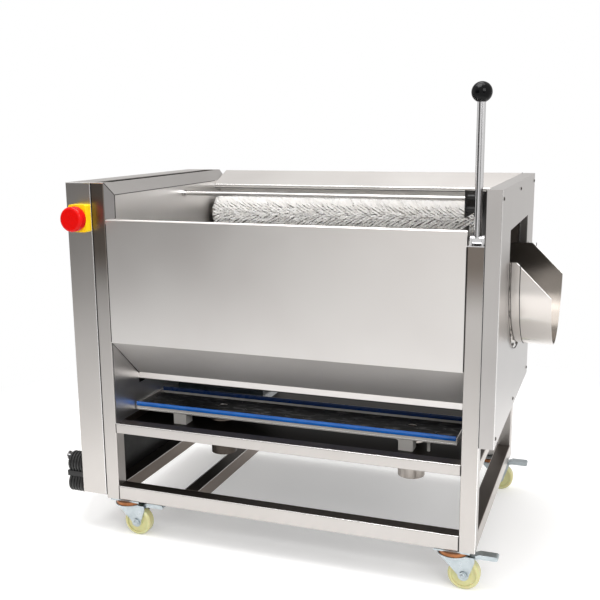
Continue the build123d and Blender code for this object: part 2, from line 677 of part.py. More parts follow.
LOOPS = [(end % 2, CENTRES[end], CENTRES[end + 1], ROLLER_LINKS) for end in range(ROLLERS - 1)]
LOOPS.append((2, MOTOR_CENTRE, CENTRES[MOTOR_ROLLER], MOTOR_LINKS))


def link_pins(first, second, links):
    """Pin places along both straight runs of a chain, clear of the chain wheels."""
    along = ((second[0] - first[0]) / links, (second[1] - first[1]) / links)
    across = (-along[1] / CHAIN_PITCH * SPROCKET_RADIUS, along[0] / CHAIN_PITCH * SPROCKET_RADIUS)
    return [(first[0] + along[0] * pin + side * across[0], first[1] + along[1] * pin + side * across[1])
            for pin in range(2, links - 1) for side in (-1, 1)]


def link_plates(lane, start):
    """The link plates on one side of every chain of a lane."""
    with BuildSketch(side_plane(start)) as plates:
        for _, first, second, _ in [loop for loop in LOOPS if loop[0] == lane]:
            angle = degrees(atan2(second[1] - first[1], second[0] - first[0]))
            span = hypot(second[0] - first[0], second[1] - first[1])
            with Locations(((first[0] + second[0]) / 2, (first[1] + second[1]) / 2)):
                SlotCenterToCenter(span, 2 * SPROCKET_RADIUS + LINK_HEIGHT, angle)
                SlotCenterToCenter(span, 2 * SPROCKET_RADIUS - LINK_HEIGHT, angle,
                                   mode=Mode.SUBTRACT)
    extrude(plates.sketch, amount=LINK_PLATE)


with BuildPart() as drive_chains:
    for lane, lane_x in enumerate(LANES_X):
        link_plates(lane, lane_x + LINK_PLATE_X)
        link_plates(lane, lane_x - LINK_PLATE_X - LINK_PLATE)
        pins = [pin for loop in LOOPS if loop[0] == lane for pin in link_pins(*loop[1:])]
        rod(side_plane(lane_x - LINK_PLATE_X - LINK_PLATE), pins, PIN_RADIUS,
            2 * (LINK_PLATE_X + LINK_PLATE))
        rod(side_plane(lane_x - LINK_PLATE_X), pins, CHAIN_ROLLER_RADIUS, 2 * LINK_PLATE_X)
drive_chains.part.label = "drive_chains"
export_step(drive_chains.part, "parts/drive_chains.step")

with BuildPart() as gear_motor:
    motor_x = MOTOR_FLANGE + GEARBOX_LENGTH
    with BuildSketch(side_plane(0)):
        with Locations(MOTOR_CENTRE):
            RectangleRounded(MOTOR_FLANGE_SIZE, MOTOR_FLANGE_SIZE, GEARBOX_EDGE)
    extrude(amount=MOTOR_FLANGE)
    with BuildSketch(side_plane(MOTOR_FLANGE)):
        with Locations(MOTOR_CENTRE):
            RectangleRounded(GEARBOX, GEARBOX, GEARBOX_EDGE)
    extrude(amount=GEARBOX_LENGTH)
    with BuildSketch(side_plane(motor_x)):
        with Locations(MOTOR_CENTRE):
            Circle(MOTOR_RADIUS)
            with PolarLocations(MOTOR_RADIUS, MOTOR_FINS):
                Rectangle(2 * MOTOR_FIN, MOTOR_FIN_WIDTH)
    extrude(amount=MOTOR_LENGTH)
    rod(side_plane(motor_x + MOTOR_LENGTH), [MOTOR_CENTRE], MOTOR_RADIUS + MOTOR_FIN, FAN_COVER)
    box_x = motor_x + MOTOR_LENGTH / 2
    box_z = MOTOR_CENTRE[1] + MOTOR_RADIUS
    block((box_x - TERMINAL_BOX[0] / 2, box_x + TERMINAL_BOX[0] / 2),
          (MOTOR_CENTRE[0] - TERMINAL_BOX[1] / 2, MOTOR_CENTRE[0] + TERMINAL_BOX[1] / 2),
          (box_z - MOTOR_FIN, box_z + TERMINAL_BOX[2]))
    rod(side_plane(0), [MOTOR_CENTRE], MOTOR_SHAFT_RADIUS + RUNNING_FIT,
        MOTOR_SHAFT_IN + SHAFT_CLEARANCE, Mode.SUBTRACT)
gear_motor.part.label = "gear_motor"
export_step(gear_motor.part, "parts/gear_motor.step")

with BuildPart() as motor_sprocket:
    boss_left = LANES_X[2] - TOOTH_WIDTH / 2
    rod(side_plane(SHAFT_LEFT), [MOTOR_CENTRE], MOTOR_SHAFT_RADIUS, MOTOR_SHAFT_IN - SHAFT_LEFT)
    rod(side_plane(boss_left), [MOTOR_CENTRE], SPROCKET_HUB_RADIUS,
        -DRIVE_PLATE - SHAFT_CLEARANCE - boss_left)
    sprocket(LANES_X[2], MOTOR_CENTRE)
motor_sprocket.part.label = "motor_sprocket"
export_step(motor_sprocket.part, "parts/motor_sprocket.step")

# ---------------------------------------------------------------- drain tray
TRAY_BACK = TRAY_FRONT + TRAY_DEPTH
TRAY_LEFT = LEFT_IN + TRAY_GAP
TRAY_FLOOR = TRAY_BOTTOM + SHEET
DRAINS = [(drain_x, DRAIN_Y) for drain_x in DRAIN_X]

with BuildPart() as drain_tray:
    block((TRAY_LEFT, END_PLATE_X), (TRAY_FRONT, TRAY_BACK), (TRAY_BOTTOM, TRAY_BOTTOM + TRAY_HEIGHT))
    block((TRAY_LEFT + SHEET, END_PLATE_X - SHEET), (TRAY_FRONT + SHEET, TRAY_BACK - SHEET),
          (TRAY_FLOOR, TRAY_BOTTOM + TRAY_HEIGHT), Mode.SUBTRACT)
    rod(level_plane(TRAY_BOTTOM), DRAINS, DRAIN_HOLE_RADIUS, SHEET, Mode.SUBTRACT)
drain_tray.part.label = "drain_tray"
export_step(drain_tray.part, "parts/drain_tray.step")

with BuildPart() as tray_mat:
    block((TRAY_LEFT + SHEET, END_PLATE_X - SHEET), (TRAY_FRONT + SHEET, TRAY_BACK - SHEET),
          (TRAY_FLOOR, TRAY_FLOOR + MAT))
    rod(level_plane(TRAY_FLOOR), DRAINS, DRAIN_HOLE_RADIUS, MAT, Mode.SUBTRACT)
tray_mat.part.label = "tray_mat"
export_step(tray_mat.part, "parts/tray_mat.step")

with BuildPart() as tray_trims:
    wall_top = TRAY_BOTTOM + TRAY_HEIGHT
    for wall in (TRAY_FRONT, TRAY_BACK - SHEET):
        middle = wall + SHEET / 2
        trim_x = (TRAY_LEFT + SHEET, END_PLATE_X - SHEET)
        block(trim_x, (middle - TRIM_WIDTH / 2, middle + TRIM_WIDTH / 2),
              (wall_top - TRIM_HEIGHT / 2, wall_top + TRIM_HEIGHT / 2))
        block(trim_x, (wall, wall + SHEET), (wall_top - TRIM_HEIGHT / 2, wall_top), Mode.SUBTRACT)
tray_trims.part.label = "tray_trims"
export_step(tray_trims.part, "parts/tray_trims.step")

with BuildPart() as tray_support:
    for leg_x in TRAY_LEGS_X:
        leg_y = (TRAY_LEG_Y, TRAY_LEG_Y + TRAY_LEG)
        block((leg_x, leg_x + TRAY_LEG), leg_y, (SHELF_TOP, TRAY_BOTTOM))
        block((leg_x + TRAY_LEG_WALL, leg_x + TRAY_LEG - TRAY_LEG_WALL),
              (leg_y[0] + TRAY_LEG_WALL, leg_y[1]), (SHELF_TOP, TRAY_BOTTOM), Mode.SUBTRACT)
    rod(level_plane(SHELF_TOP), [(FRAME_WIDTH - POST_INSET, TRAY_LEG_Y + TRAY_LEG / 2)],
        TRAY_POST_RADIUS, TRAY_BOTTOM - SHELF_TOP)
tray_support.part.label = "tray_support"
export_step(tray_support.part, "parts/tray_support.step")

with BuildPart() as tray_shelf:
    block((LEFT_IN, RIGHT_IN), (TUBE, BACK_IN), (SHELF_TOP - SHEET, SHELF_TOP))
    block((LEFT_IN, SHELF_CUT_X), SHELF_CUT_Y, (SHELF_TOP - SHEET, SHELF_TOP), Mode.SUBTRACT)
    rod(level_plane(SHELF_TOP - SHEET), DRAINS, DRAIN_RADIUS + SHELF_HOLE_GAP, SHEET, Mode.SUBTRACT)
tray_shelf.part.label = "tray_shelf"
export_step(tray_shelf.part, "parts/tray_shelf.step")

with BuildPart() as drain_left:
    ring(level_plane(DRAIN_BOTTOM), DRAINS[0], DRAIN_RADIUS, DRAIN_RADIUS - DRAIN_WALL,
         TRAY_BOTTOM - DRAIN_BOTTOM)
drain_left.part.label = "drain_left"
export_step(drain_left.part, "parts/drain_left.step")

with BuildPart() as drain_right:
    ring(level_plane(DRAIN_BOTTOM), DRAINS[1], DRAIN_RADIUS, DRAIN_RADIUS - DRAIN_WALL,
         TRAY_BOTTOM - DRAIN_BOTTOM)
drain_right.part.label = "drain_right"
export_step(drain_right.part, "parts/drain_right.step")


# ---------------------------------------------------------------- end cover and discharge chute
def trough_section(plane, radius, top, length, mode=Mode.ADD):
    """Extrude a filled U: a half circle of the chute's centre with straight sides up to top."""
    with BuildSketch(plane) as section:
        with Locations((CHUTE_Y, CHUTE_Z)):
            Circle(radius)
        with Locations((CHUTE_Y, (CHUTE_Z + top) / 2)):
            Rectangle(2 * radius, top - CHUTE_Z)
        with Locations((CHUTE_Y, top + radius)):
            Rectangle(2 * radius, 2 * radius, mode=Mode.SUBTRACT)
    extrude(section.sketch, amount=length, mode=mode)


with BuildPart() as end_cover:
    block((FRAME_WIDTH, COVER_X), (0, FRAME_DEPTH), (COVER_BOTTOM, COVER_TOP))
    block((FRAME_WIDTH, COVER_X - SHEET), (SHEET, FRAME_DEPTH - SHEET),
          (COVER_BOTTOM + SHEET, COVER_TOP - SHEET), Mode.SUBTRACT)
    trough_section(side_plane(COVER_X - SHEET), CHUTE_RADIUS + SEAT, OPENING_TOP, SHEET,
                   Mode.SUBTRACT)
end_cover.part.label = "end_cover"
export_step(end_cover.part, "parts/end_cover.step")

with BuildPart() as chute:
    trough_section(side_plane(CHUTE_INNER_X), CHUTE_RADIUS, CHUTE_RIM_Z, CHUTE_END_X - CHUTE_INNER_X)
    trough_section(side_plane(CHUTE_BODY_X), CHUTE_RADIUS + CHUTE_STEP, CHUTE_RIM_Z,
                   CHUTE_END_X - CHUTE_BODY_X)
    trough_section(side_plane(COVER_X), CHUTE_RADIUS + CHUTE_FLANGE, CHUTE_RIM_Z, SHEET)
    trough_section(side_plane(CHUTE_INNER_X), CHUTE_RADIUS - SHEET, CHUTE_RIM_Z,
                   CHUTE_END_X - CHUTE_INNER_X, Mode.SUBTRACT)
    above = [(CHUTE_FLAT_X, CHUTE_RIM_Z), (CHUTE_END_X, CHUTE_MOUTH_Z), (CHUTE_END_X, CHUTE_RIM_Z)]
    prism(front_plane(FRAME_DEPTH), above, FRAME_DEPTH, Mode.SUBTRACT)
chute.part.label = "chute"
export_step(chute.part, "parts/chute.step")

# ---------------------------------------------------------------- gate and lever
with BuildPart() as gate_plate:
    arm_back = NOTCH_FRONT - GATE_LAP
    gate_back = NOTCH_BACK + GATE_LAP
    corners = [(GATE_ARM_FRONT, GATE_ARM_BOTTOM), (arm_back, GATE_ARM_BOTTOM),
               (arm_back, NOTCH_BOTTOM - GATE_LAP), (gate_back, NOTCH_BOTTOM - GATE_LAP),
               (gate_back, GATE_TOP_BACK), (GATE_ARM_FRONT, GATE_TOP_FRONT)]
    prism(side_plane(GATE_X), corners, GATE)
    for clamp_z in CLAMP_Z:
        rod(side_plane(GATE_X + GATE), [(ROD_Y, clamp_z)], CLAMP_RADIUS, LEVER_X - GATE_X - GATE)
    rod(level_plane(PIVOT_Z), [(LEVER_X, ROD_Y)], ROD_RADIUS, KNOB_Z - PIVOT_Z, Mode.SUBTRACT)
gate_plate.part.label = "gate_plate"
export_step(gate_plate.part, "parts/gate_plate.step")

ROD_TOP = KNOB_Z - KNOB_RADIUS + ROD_IN_KNOB
with BuildPart() as lever_rod:
    rod(level_plane(PIVOT_Z), [(LEVER_X, ROD_Y)], ROD_RADIUS, ROD_TOP - PIVOT_Z)
    rod(side_plane(LEVER_X - HUB_WIDTH / 2), [(ROD_Y, PIVOT_Z)], HUB_RADIUS, HUB_WIDTH)
    rod(side_plane(LEVER_X - HUB_WIDTH / 2), [(ROD_Y, PIVOT_Z)], PIVOT_RADIUS + RUNNING_FIT,
        HUB_WIDTH, Mode.SUBTRACT)
lever_rod.part.label = "lever_rod"
export_step(lever_rod.part, "parts/lever_rod.step")

with BuildPart() as lever_knob:
    with Locations(place(LEVER_X, ROD_Y, KNOB_Z)):
        Sphere(KNOB_RADIUS)
    rod(level_plane(KNOB_Z - KNOB_RADIUS), [(LEVER_X, ROD_Y)], ROD_RADIUS + RUNNING_FIT,
        ROD_IN_KNOB, Mode.SUBTRACT)
lever_knob.part.label = "lever_knob"
export_step(lever_knob.part, "parts/lever_knob.step")

with BuildPart() as gate_pivot:
    base_top = RIGHT_UPRIGHT_TOP + EAR_BASE
    half = HUB_WIDTH / 2 + EAR_GAP
    block((LEVER_X - TUBE / 2, LEVER_X + TUBE / 2), (0, TUBE), (RIGHT_UPRIGHT_TOP, base_top))
    for ear_x in (LEVER_X - half - EAR, LEVER_X + half):
        block((ear_x, ear_x + EAR), (ROD_Y - HUB_RADIUS, ROD_Y + HUB_RADIUS), (base_top, PIVOT_Z))
        rod(side_plane(ear_x), [(ROD_Y, PIVOT_Z)], HUB_RADIUS, EAR)
    rod(side_plane(LEVER_X - half - EAR), [(ROD_Y, PIVOT_Z)], PIVOT_RADIUS, 2 * (half + EAR))
gate_pivot.part.label = "gate_pivot"
export_step(gate_pivot.part, "parts/gate_pivot.step")

# ---------------------------------------------------------------- emergency stop
with BuildPart() as stop_box:
    with BuildSketch(front_plane(0)):
        with Locations((STOP_X, STOP_Z)):
            RectangleRounded(STOP_BOX[0], STOP_BOX[1], STOP_EDGE)
    extrude(amount=STOP_BOX[2])
    rod(front_plane(-STOP_BOX[2]), [(STOP_X, STOP_Z)], STOP_COLLAR_RADIUS, STOP_COLLAR)
    rod(front_plane(-STOP_BOX[2] + STOP_STEM_IN + STOP_TRAVEL + SHEET), [(STOP_X, STOP_Z)],
        STOP_STEM_RADIUS + RUNNING_FIT, STOP_BOX[2], Mode.SUBTRACT)
stop_box.part.label = "stop_box"
export_step(stop_box.part, "parts/stop_box.step")

with BuildPart() as stop_button:
    rod(front_plane(-STOP_BOX[2] + STOP_STEM_IN), [(STOP_X, STOP_Z)], STOP_STEM_RADIUS,
        STOP_CAP_BACK - STOP_BOX[2] + STOP_STEM_IN)
    rod(front_plane(-STOP_CAP_BACK), [(STOP_X, STOP_Z)], STOP_CAP_RADIUS, STOP_CAP_DEPTH)
    fillet(stop_button.faces().sort_by(Axis.Y)[0].edges(), STOP_ROUND)
stop_button.part.label = "stop_button"
export_step(stop_button.part, "parts/stop_button.step")

# ---------------------------------------------------------------- castors
CASTORS = {
    "fl": (CASTOR_X, CASTOR_Y), "fr": (FRAME_WIDTH - CASTOR_X, CASTOR_Y),
    "rl": (CASTOR_X, FRAME_DEPTH - CASTOR_Y), "rr": (FRAME_WIDTH - CASTOR_X, FRAME_DEPTH - CASTOR_Y),
}
CHEEK_IN = WHEEL_WIDTH / 2 + FORK_GAP

with BuildPart() as castor_plates:
    for x, y in CASTORS.values():
        block((x - PLATE[0] / 2, x + PLATE[0] / 2), (y - PLATE[1] / 2, y + PLATE[1] / 2),
              (FRAME_FLOOR - PLATE[2], FRAME_FLOOR))
        pin_bottom = FORK_TOP - FORK_DISC - KINGPIN_GAP
        rod(level_plane(pin_bottom), [(x, y)], KINGPIN_RADIUS, FRAME_FLOOR - PLATE[2] - pin_bottom)
        rod(level_plane(pin_bottom - KINGPIN_HEAD), [(x, y)], KINGPIN_HEAD_RADIUS, KINGPIN_HEAD)
castor_plates.part.label = "castor_plates"
export_step(castor_plates.part, "parts/castor_plates.step")

with BuildPart() as castor_races:
    for x, y in CASTORS.values():
        ring(level_plane(RACE_BOTTOM), (x, y), RACE_RADIUS, KINGPIN_RADIUS + SEAT,
             FRAME_FLOOR - PLATE[2] - RACE_BOTTOM)
castor_races.part.label = "castor_races"
export_step(castor_races.part, "parts/castor_races.step")


def castor_fork(x, y):
    """A swivelling fork with the axle bolt and the pedal's pin riveted across it."""
    axle = (x + CASTOR_TRAIL, WHEEL_RADIUS)
    side = FORK_SIDE
    with BuildPart() as fork:
        ring(level_plane(FORK_TOP - FORK_DISC), (x, y), FORK_DISC_RADIUS,
             KINGPIN_RADIUS + RUNNING_FIT, FORK_DISC)
        for outer in (y - CHEEK_IN, y + CHEEK_IN + FORK_CHEEK):
            corners = [(x + side[0], FORK_TOP - FORK_DISC), (axle[0] - FORK_FOOT_RADIUS, axle[1]),
                       (axle[0] + FORK_FOOT_RADIUS, axle[1]), (x + side[1], PEDAL_Z - FORK_EAR),
                       (x + side[1], FORK_TOP - FORK_DISC)]
            prism(front_plane(outer), corners, FORK_CHEEK)
            rod(front_plane(outer), [axle], FORK_FOOT_RADIUS, FORK_CHEEK)
        outside = CHEEK_IN + FORK_CHEEK
        rod(front_plane(y + outside + AXLE_HEAD), [axle], AXLE_RADIUS, 2 * (outside + AXLE_HEAD))
        for head in (y - outside, y + outside + AXLE_HEAD):
            rod(front_plane(head), [axle], AXLE_HEAD_RADIUS, AXLE_HEAD)
        rod(front_plane(y + outside), [(x + PEDAL_X, PEDAL_Z)], PEDAL_PIN_RADIUS, 2 * outside)
    return fork.part


def castor_wheel(x, y):
    """A solid wheel with chamfered edges, dished sides and a proud hub."""
    axle = (x + CASTOR_TRAIL, WHEEL_RADIUS)
    half = WHEEL_WIDTH / 2
    hub = half + WHEEL_HUB_PROUD
    with BuildPart() as wheel:
        rod(front_plane(y + half), [axle], WHEEL_RADIUS, WHEEL_WIDTH)
        chamfer(wheel.edges(), WHEEL_EDGE)
        for outer in (y + half, y - half + WHEEL_DISH):
            rod(front_plane(outer), [axle], WHEEL_DISH_RADIUS, WHEEL_DISH, Mode.SUBTRACT)
        rod(front_plane(y + hub), [axle], WHEEL_HUB_RADIUS, 2 * hub)
        rod(front_plane(y + hub), [axle], AXLE_RADIUS + RUNNING_FIT, 2 * hub, Mode.SUBTRACT)
    return wheel.part


def brake_pedal(x, y):
    """A channel-shaped foot pedal with a rolled tip, on the fork's pin."""
    pin = (x + PEDAL_X, PEDAL_Z)
    knee = (pin[0] + PEDAL_RISE[0], pin[1] + PEDAL_RISE[1])
    tip = (pin[0] + PEDAL_LENGTH, knee[1])
    outer = front_plane(y + PEDAL_WIDTH / 2)
    top = PEDAL_THICKNESS / 2
    side = [(pin[0], pin[1] + PEDAL_BARREL), (knee[0], knee[1] + top), (tip[0], knee[1] + top),
            (tip[0], knee[1] - PEDAL_SKIRT), (knee[0], knee[1] - PEDAL_SKIRT), (pin[0], pin[1] - top)]
    with BuildPart() as pedal:
        prism(outer, side, PEDAL_WIDTH)
        block((knee[0], tip[0]), (y - PEDAL_WIDTH / 2 + SHEET, y + PEDAL_WIDTH / 2 - SHEET),
              (knee[1] - PEDAL_SKIRT, knee[1] - top), Mode.SUBTRACT)
        rod(outer, [pin], PEDAL_BARREL, PEDAL_WIDTH)
        rod(outer, [(tip[0], knee[1] + top - PEDAL_TIP_RADIUS)], PEDAL_TIP_RADIUS, PEDAL_WIDTH)
        rod(outer, [pin], PEDAL_PIN_RADIUS + RUNNING_FIT, PEDAL_WIDTH, Mode.SUBTRACT)
    return pedal.part


for corner, (castor_x, castor_y) in CASTORS.items():
    fork_part = castor_fork(castor_x, castor_y)
    fork_part.label = f"castor_fork_{corner}"
    export_step(fork_part, f"parts/castor_fork_{corner}.step")
    wheel_part = castor_wheel(castor_x, castor_y)
    wheel_part.label = f"castor_wheel_{corner}"
    export_step(wheel_part, f"parts/castor_wheel_{corner}.step")
    pedal_part = brake_pedal(castor_x, castor_y)
    pedal_part.label = f"brake_pedal_{corner}"
    export_step(pedal_part, f"parts/brake_pedal_{corner}.step")

# ---------------------------------------------------------------- screws
with BuildPart() as screws:
    screw_rows = (COVER_TOP - COVER_SCREW_INSET, COVER_BOTTOM + COVER_SCREW_INSET)
    screw_columns = (COVER_SCREW_INSET, FRAME_DEPTH / 2, FRAME_DEPTH - COVER_SCREW_INSET)
    cover_screws = [(y, z) for y in screw_columns for z in screw_rows]
    rod(side_plane(COVER_X), cover_screws, SCREW_RADIUS, SCREW_HEAD)
    flange_radius = CHUTE_RADIUS + CHUTE_FLANGE / 2
    turns = [radians(FLANGE_SCREW_STEP * (number - FLANGE_SCREWS // 2))
             for number in range(FLANGE_SCREWS)]
    flange_screws = [(CHUTE_Y + flange_radius * sin(turn), CHUTE_Z - flange_radius * cos(turn))
                     for turn in turns]
    rod(side_plane(COVER_X + SHEET), flange_screws, SCREW_RADIUS, SCREW_HEAD)
    for x, y in CASTORS.values():
        plate_screws = [(x + side_x * (PLATE[0] / 2 - PLATE_SCREW_INSET),
                         y + side_y * (PLATE[1] / 2 - PLATE_SCREW_INSET))
                        for side_x in (-1, 1) for side_y in (-1, 1)]
        rod(level_plane(FRAME_FLOOR - PLATE[2] - SCREW_HEAD), plate_screws, SCREW_RADIUS, SCREW_HEAD)
screws.part.label = "screws"
export_step(screws.part, "parts/screws.step")

# ---------------------------------------------------------------- supply cord
HANK_CENTRE_TOP = HANK_TOP - HANK_FOLD - CORD_RADIUS
WAIST_SIDE = HANK_WAIST + HANK_FOLD  # from the hank's middle to the centres of its waist
LOBE_RISE = ((2 * HANK_FOLD) ** 2 - WAIST_SIDE**2) ** 0.5
WAIST_Z = HANK_CENTRE_TOP - LOBE_RISE


def peanut(offset):
    """Closed outline in (Y, Z) of one turn of the hank, moved outwards by offset."""
    lobe = HANK_FOLD + offset
    y = WAIST_SIDE * lobe / (2 * HANK_FOLD)
    z = LOBE_RISE - LOBE_RISE * lobe / (2 * HANK_FOLD)
    ThreePointArc((HANK_Y - y, WAIST_Z + z), (HANK_Y, WAIST_Z + LOBE_RISE + lobe),
                  (HANK_Y + y, WAIST_Z + z))
    ThreePointArc((HANK_Y + y, WAIST_Z + z), (HANK_Y + HANK_WAIST + offset, WAIST_Z),
                  (HANK_Y + y, WAIST_Z - z))
    ThreePointArc((HANK_Y + y, WAIST_Z - z), (HANK_Y, WAIST_Z - LOBE_RISE - lobe),
                  (HANK_Y - y, WAIST_Z - z))
    ThreePointArc((HANK_Y - y, WAIST_Z - z), (HANK_Y - HANK_WAIST - offset, WAIST_Z),
                  (HANK_Y - y, WAIST_Z + z))


with BuildPart() as cord_hank:
    with BuildSketch(side_plane(HANK_LEFT)):
        with BuildLine():
            peanut(CORD_RADIUS)
        make_face()
        with BuildLine():
            peanut(-CORD_RADIUS)
        make_face(mode=Mode.SUBTRACT)
    extrude(amount=HANK_RIGHT - HANK_LEFT)
cord_hank.part.label = "cord_hank"
export_step(cord_hank.part, "parts/cord_hank.step")

with BuildPart() as cord_tie:
    half = HANK_WAIST + CORD_RADIUS + TIE_CLEARANCE
    block((HANK_LEFT - SEAT - TIE, HANK_RIGHT + SEAT + TIE), (HANK_Y - half - TIE, HANK_Y + half + TIE),
          (WAIST_Z - TIE_HEIGHT / 2, WAIST_Z + TIE_HEIGHT / 2))
    block((HANK_LEFT - SEAT, HANK_RIGHT + SEAT), (HANK_Y - half, HANK_Y + half),
          (WAIST_Z - TIE_HEIGHT / 2, WAIST_Z + TIE_HEIGHT / 2), Mode.SUBTRACT)
cord_tie.part.label = "cord_tie"
export_step(cord_tie.part, "parts/cord_tie.step")

HOOK_Z = HANK_CENTRE_TOP + HANK_FOLD - CORD_RADIUS - SEAT - HOOK_RADIUS
with BuildPart() as cord_hook:
    rod(side_plane(-HOUSING_WIDTH - HOOK_PLATE), [(HANK_Y, HOOK_Z)], HOOK_PLATE_RADIUS, HOOK_PLATE)
    rod(side_plane(-LEFT_OUT), [(HANK_Y, HOOK_Z)], HOOK_RADIUS, HOOK_LENGTH)
    rod(side_plane(-LEFT_OUT), [(HANK_Y, HOOK_Z)], HOOK_TIP, HOOK_PLATE)
cord_hook.part.label = "cord_hook"
export_step(cord_hook.part, "parts/cord_hook.step")

with BuildPart() as cord_gland:
    gland_at = CORD_ROUTE[0][1:]
    nut_x = -HOUSING_WIDTH - GLAND_LENGTH
    rod(side_plane(nut_x), [gland_at], GLAND_RADIUS, GLAND_LENGTH)
    with BuildSketch(side_plane(nut_x)):
        with Locations(gland_at):
            Circle(RELIEF_RADIUS)
    with BuildSketch(side_plane(CORD_ROUTE[0][0])):
        with Locations(gland_at):
            Circle(RELIEF_END_RADIUS)
    loft()
cord_gland.part.label = "cord_gland"
export_step(cord_gland.part, "parts/cord_gland.step")

CORD_POINTS = [place(*point) for point in CORD_ROUTE]
RUNS = [(Vector(*after) - Vector(*before)) for before, after in zip(CORD_POINTS, CORD_POINTS[1:])]
CORD_BENDS = []
for before, after in zip(RUNS, RUNS[1:]):
    half_turn = radians(before.get_angle(after)) / 2
    CORD_BENDS.append(0.45 * min(before.length, after.length) / tan(half_turn))
print("cord bend radii, mm:", [round(bend, 1) for bend in CORD_BENDS])

with BuildPart() as cord_lead:
    with BuildLine() as lead_line:
        FilletPolyline(*CORD_POINTS, radius=CORD_BENDS)
    with BuildSketch(Plane(origin=CORD_POINTS[0], z_dir=RUNS[0])):
        Circle(CORD_RADIUS)
    sweep()
cord_lead.part.label = "cord_lead"
export_step(cord_lead.part, "parts/cord_lead.step")
print("cord volume against section times length:",
      cord_lead.part.volume / (pi * CORD_RADIUS**2 * sum(edge.length for edge in lead_line.edges())))

PLUG_AIM = (0, sin(radians(PLUG_ANGLE)), -cos(radians(PLUG_ANGLE)))
PLUG_PLANE = Plane(origin=place(HANK_X, *PLUG_START), x_dir=(1, 0, 0), z_dir=PLUG_AIM)
with BuildPart() as cord_plug:
    with BuildSketch(PLUG_PLANE):
        Circle(RELIEF_END_RADIUS)
    with BuildSketch(PLUG_PLANE.offset(PLUG_RELIEF)):
        Circle(RELIEF_RADIUS)
    loft()
    with BuildSketch(PLUG_PLANE.offset(PLUG_RELIEF)):
        RectangleRounded(PLUG_SIZE[0], PLUG_SIZE[1], PLUG_EDGE)
    extrude(amount=PLUG_SIZE[2])
    with BuildSketch(PLUG_PLANE.offset(PLUG_RELIEF + PLUG_SIZE[2])):
        with GridLocations(0, PLUG_PIN_SPACING, 1, 2):
            Rectangle(PLUG_PIN[0], PLUG_PIN[1])
    extrude(amount=PLUG_PIN[2])
cord_plug.part.label = "cord_plug"
export_step(cord_plug.part, "parts/cord_plug.step")
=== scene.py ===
"""Looks of the electric potato peeler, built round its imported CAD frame.

Lengths in the tables are millimetres from the left front corner of the machine's frame, at floor
level; at() turns them into the model's own metres. Everything steel is stainless unless named.
"""
from math import asin, cos, pi, radians, sin

import bmesh
import bpy
from mathutils import Matrix, Vector


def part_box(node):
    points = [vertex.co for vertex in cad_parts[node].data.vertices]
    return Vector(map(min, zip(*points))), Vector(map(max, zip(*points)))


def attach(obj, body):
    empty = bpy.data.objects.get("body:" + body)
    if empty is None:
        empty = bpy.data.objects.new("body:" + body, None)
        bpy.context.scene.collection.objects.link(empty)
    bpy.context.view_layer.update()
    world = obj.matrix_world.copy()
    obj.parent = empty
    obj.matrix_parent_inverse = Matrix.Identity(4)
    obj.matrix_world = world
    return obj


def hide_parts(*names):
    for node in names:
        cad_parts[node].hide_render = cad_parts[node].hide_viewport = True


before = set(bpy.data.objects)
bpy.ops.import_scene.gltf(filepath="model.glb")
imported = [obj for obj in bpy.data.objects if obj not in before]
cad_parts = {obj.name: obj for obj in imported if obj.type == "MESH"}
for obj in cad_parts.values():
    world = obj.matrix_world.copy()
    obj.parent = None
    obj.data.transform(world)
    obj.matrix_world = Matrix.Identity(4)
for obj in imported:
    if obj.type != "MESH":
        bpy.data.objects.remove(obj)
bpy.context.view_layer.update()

MM = 0.001
MIDDLE = (482.0, 320.0)  # where the model's own origin is, on the floor
CORNERS = ("fl", "fr", "rl", "rr")  # the castors: front or rear, left or right
CHUTE_MIDDLE = (341.0, 711.0)  # Y and Z of the axis of the chute's round bottom
SAME_POINT = 1e-6  # metres: corners of loose triangles nearer than this are one


def at(x, y, z):
    """A point of the machine in the model's own metres."""
    return Vector(((x - MIDDLE[0]) * MM, (y - MIDDLE[1]) * MM, z * MM))


# ---------------------------------------------------------------- camera
# fitted to the frame's corners: 2.4 m from the machine's middle, above its hood and to its right
CAMERA_AT = (1245.2, -1889.5, 1064.8)
CAMERA_TURN = 0.3548  # from +Y towards -X, in radians as the next two
CAMERA_DIP = 0.1989
CAMERA_ROLL = -0.0094
FOCAL_PIXELS = 885.5
IMAGE = 600  # the picture's side in pixels
LENS_AXIS = (297.9, 303.55)  # the pixel that the lens looks straight at
SENSOR_WIDTH = 36.0
NEAREST = 0.05  # metres: nothing nearer is drawn


def make_camera():
    """The main camera, with its lens from the fitted focal length."""
    ahead = Vector((-sin(CAMERA_TURN) * cos(CAMERA_DIP), cos(CAMERA_TURN) * cos(CAMERA_DIP),
                    -sin(CAMERA_DIP)))
    level = Vector((cos(CAMERA_TURN), sin(CAMERA_TURN), 0))
    right = level * cos(CAMERA_ROLL) + level.cross(ahead) * sin(CAMERA_ROLL)
    turn = Matrix((right, right.cross(ahead), -ahead)).transposed()
    lens = bpy.data.cameras.new("camera")
    lens.sensor_width = SENSOR_WIDTH
    lens.lens = FOCAL_PIXELS / IMAGE * SENSOR_WIDTH
    lens.shift_x = (IMAGE / 2 - LENS_AXIS[0]) / IMAGE
    lens.shift_y = (LENS_AXIS[1] - IMAGE / 2) / IMAGE
    lens.clip_start = NEAREST
    camera = bpy.data.objects.new("camera", lens)
    camera.matrix_world = Matrix.Translation(at(*CAMERA_AT)) @ turn.to_4x4()
    bpy.context.scene.collection.objects.link(camera)
    bpy.context.scene.camera = camera


make_camera()


# ---------------------------------------------------------------- materials
GRAIN_SPAN = (0.3, 0.7)  # a noise's value lies almost always between these
TOPS_FROM = 640.0  # painted shade: a steel's colour changes to its tops colour between these heights
TOPS_TO = 770.0
FINISHES = {}  # the materials by the names given here: the frame's own ones may have taken a name


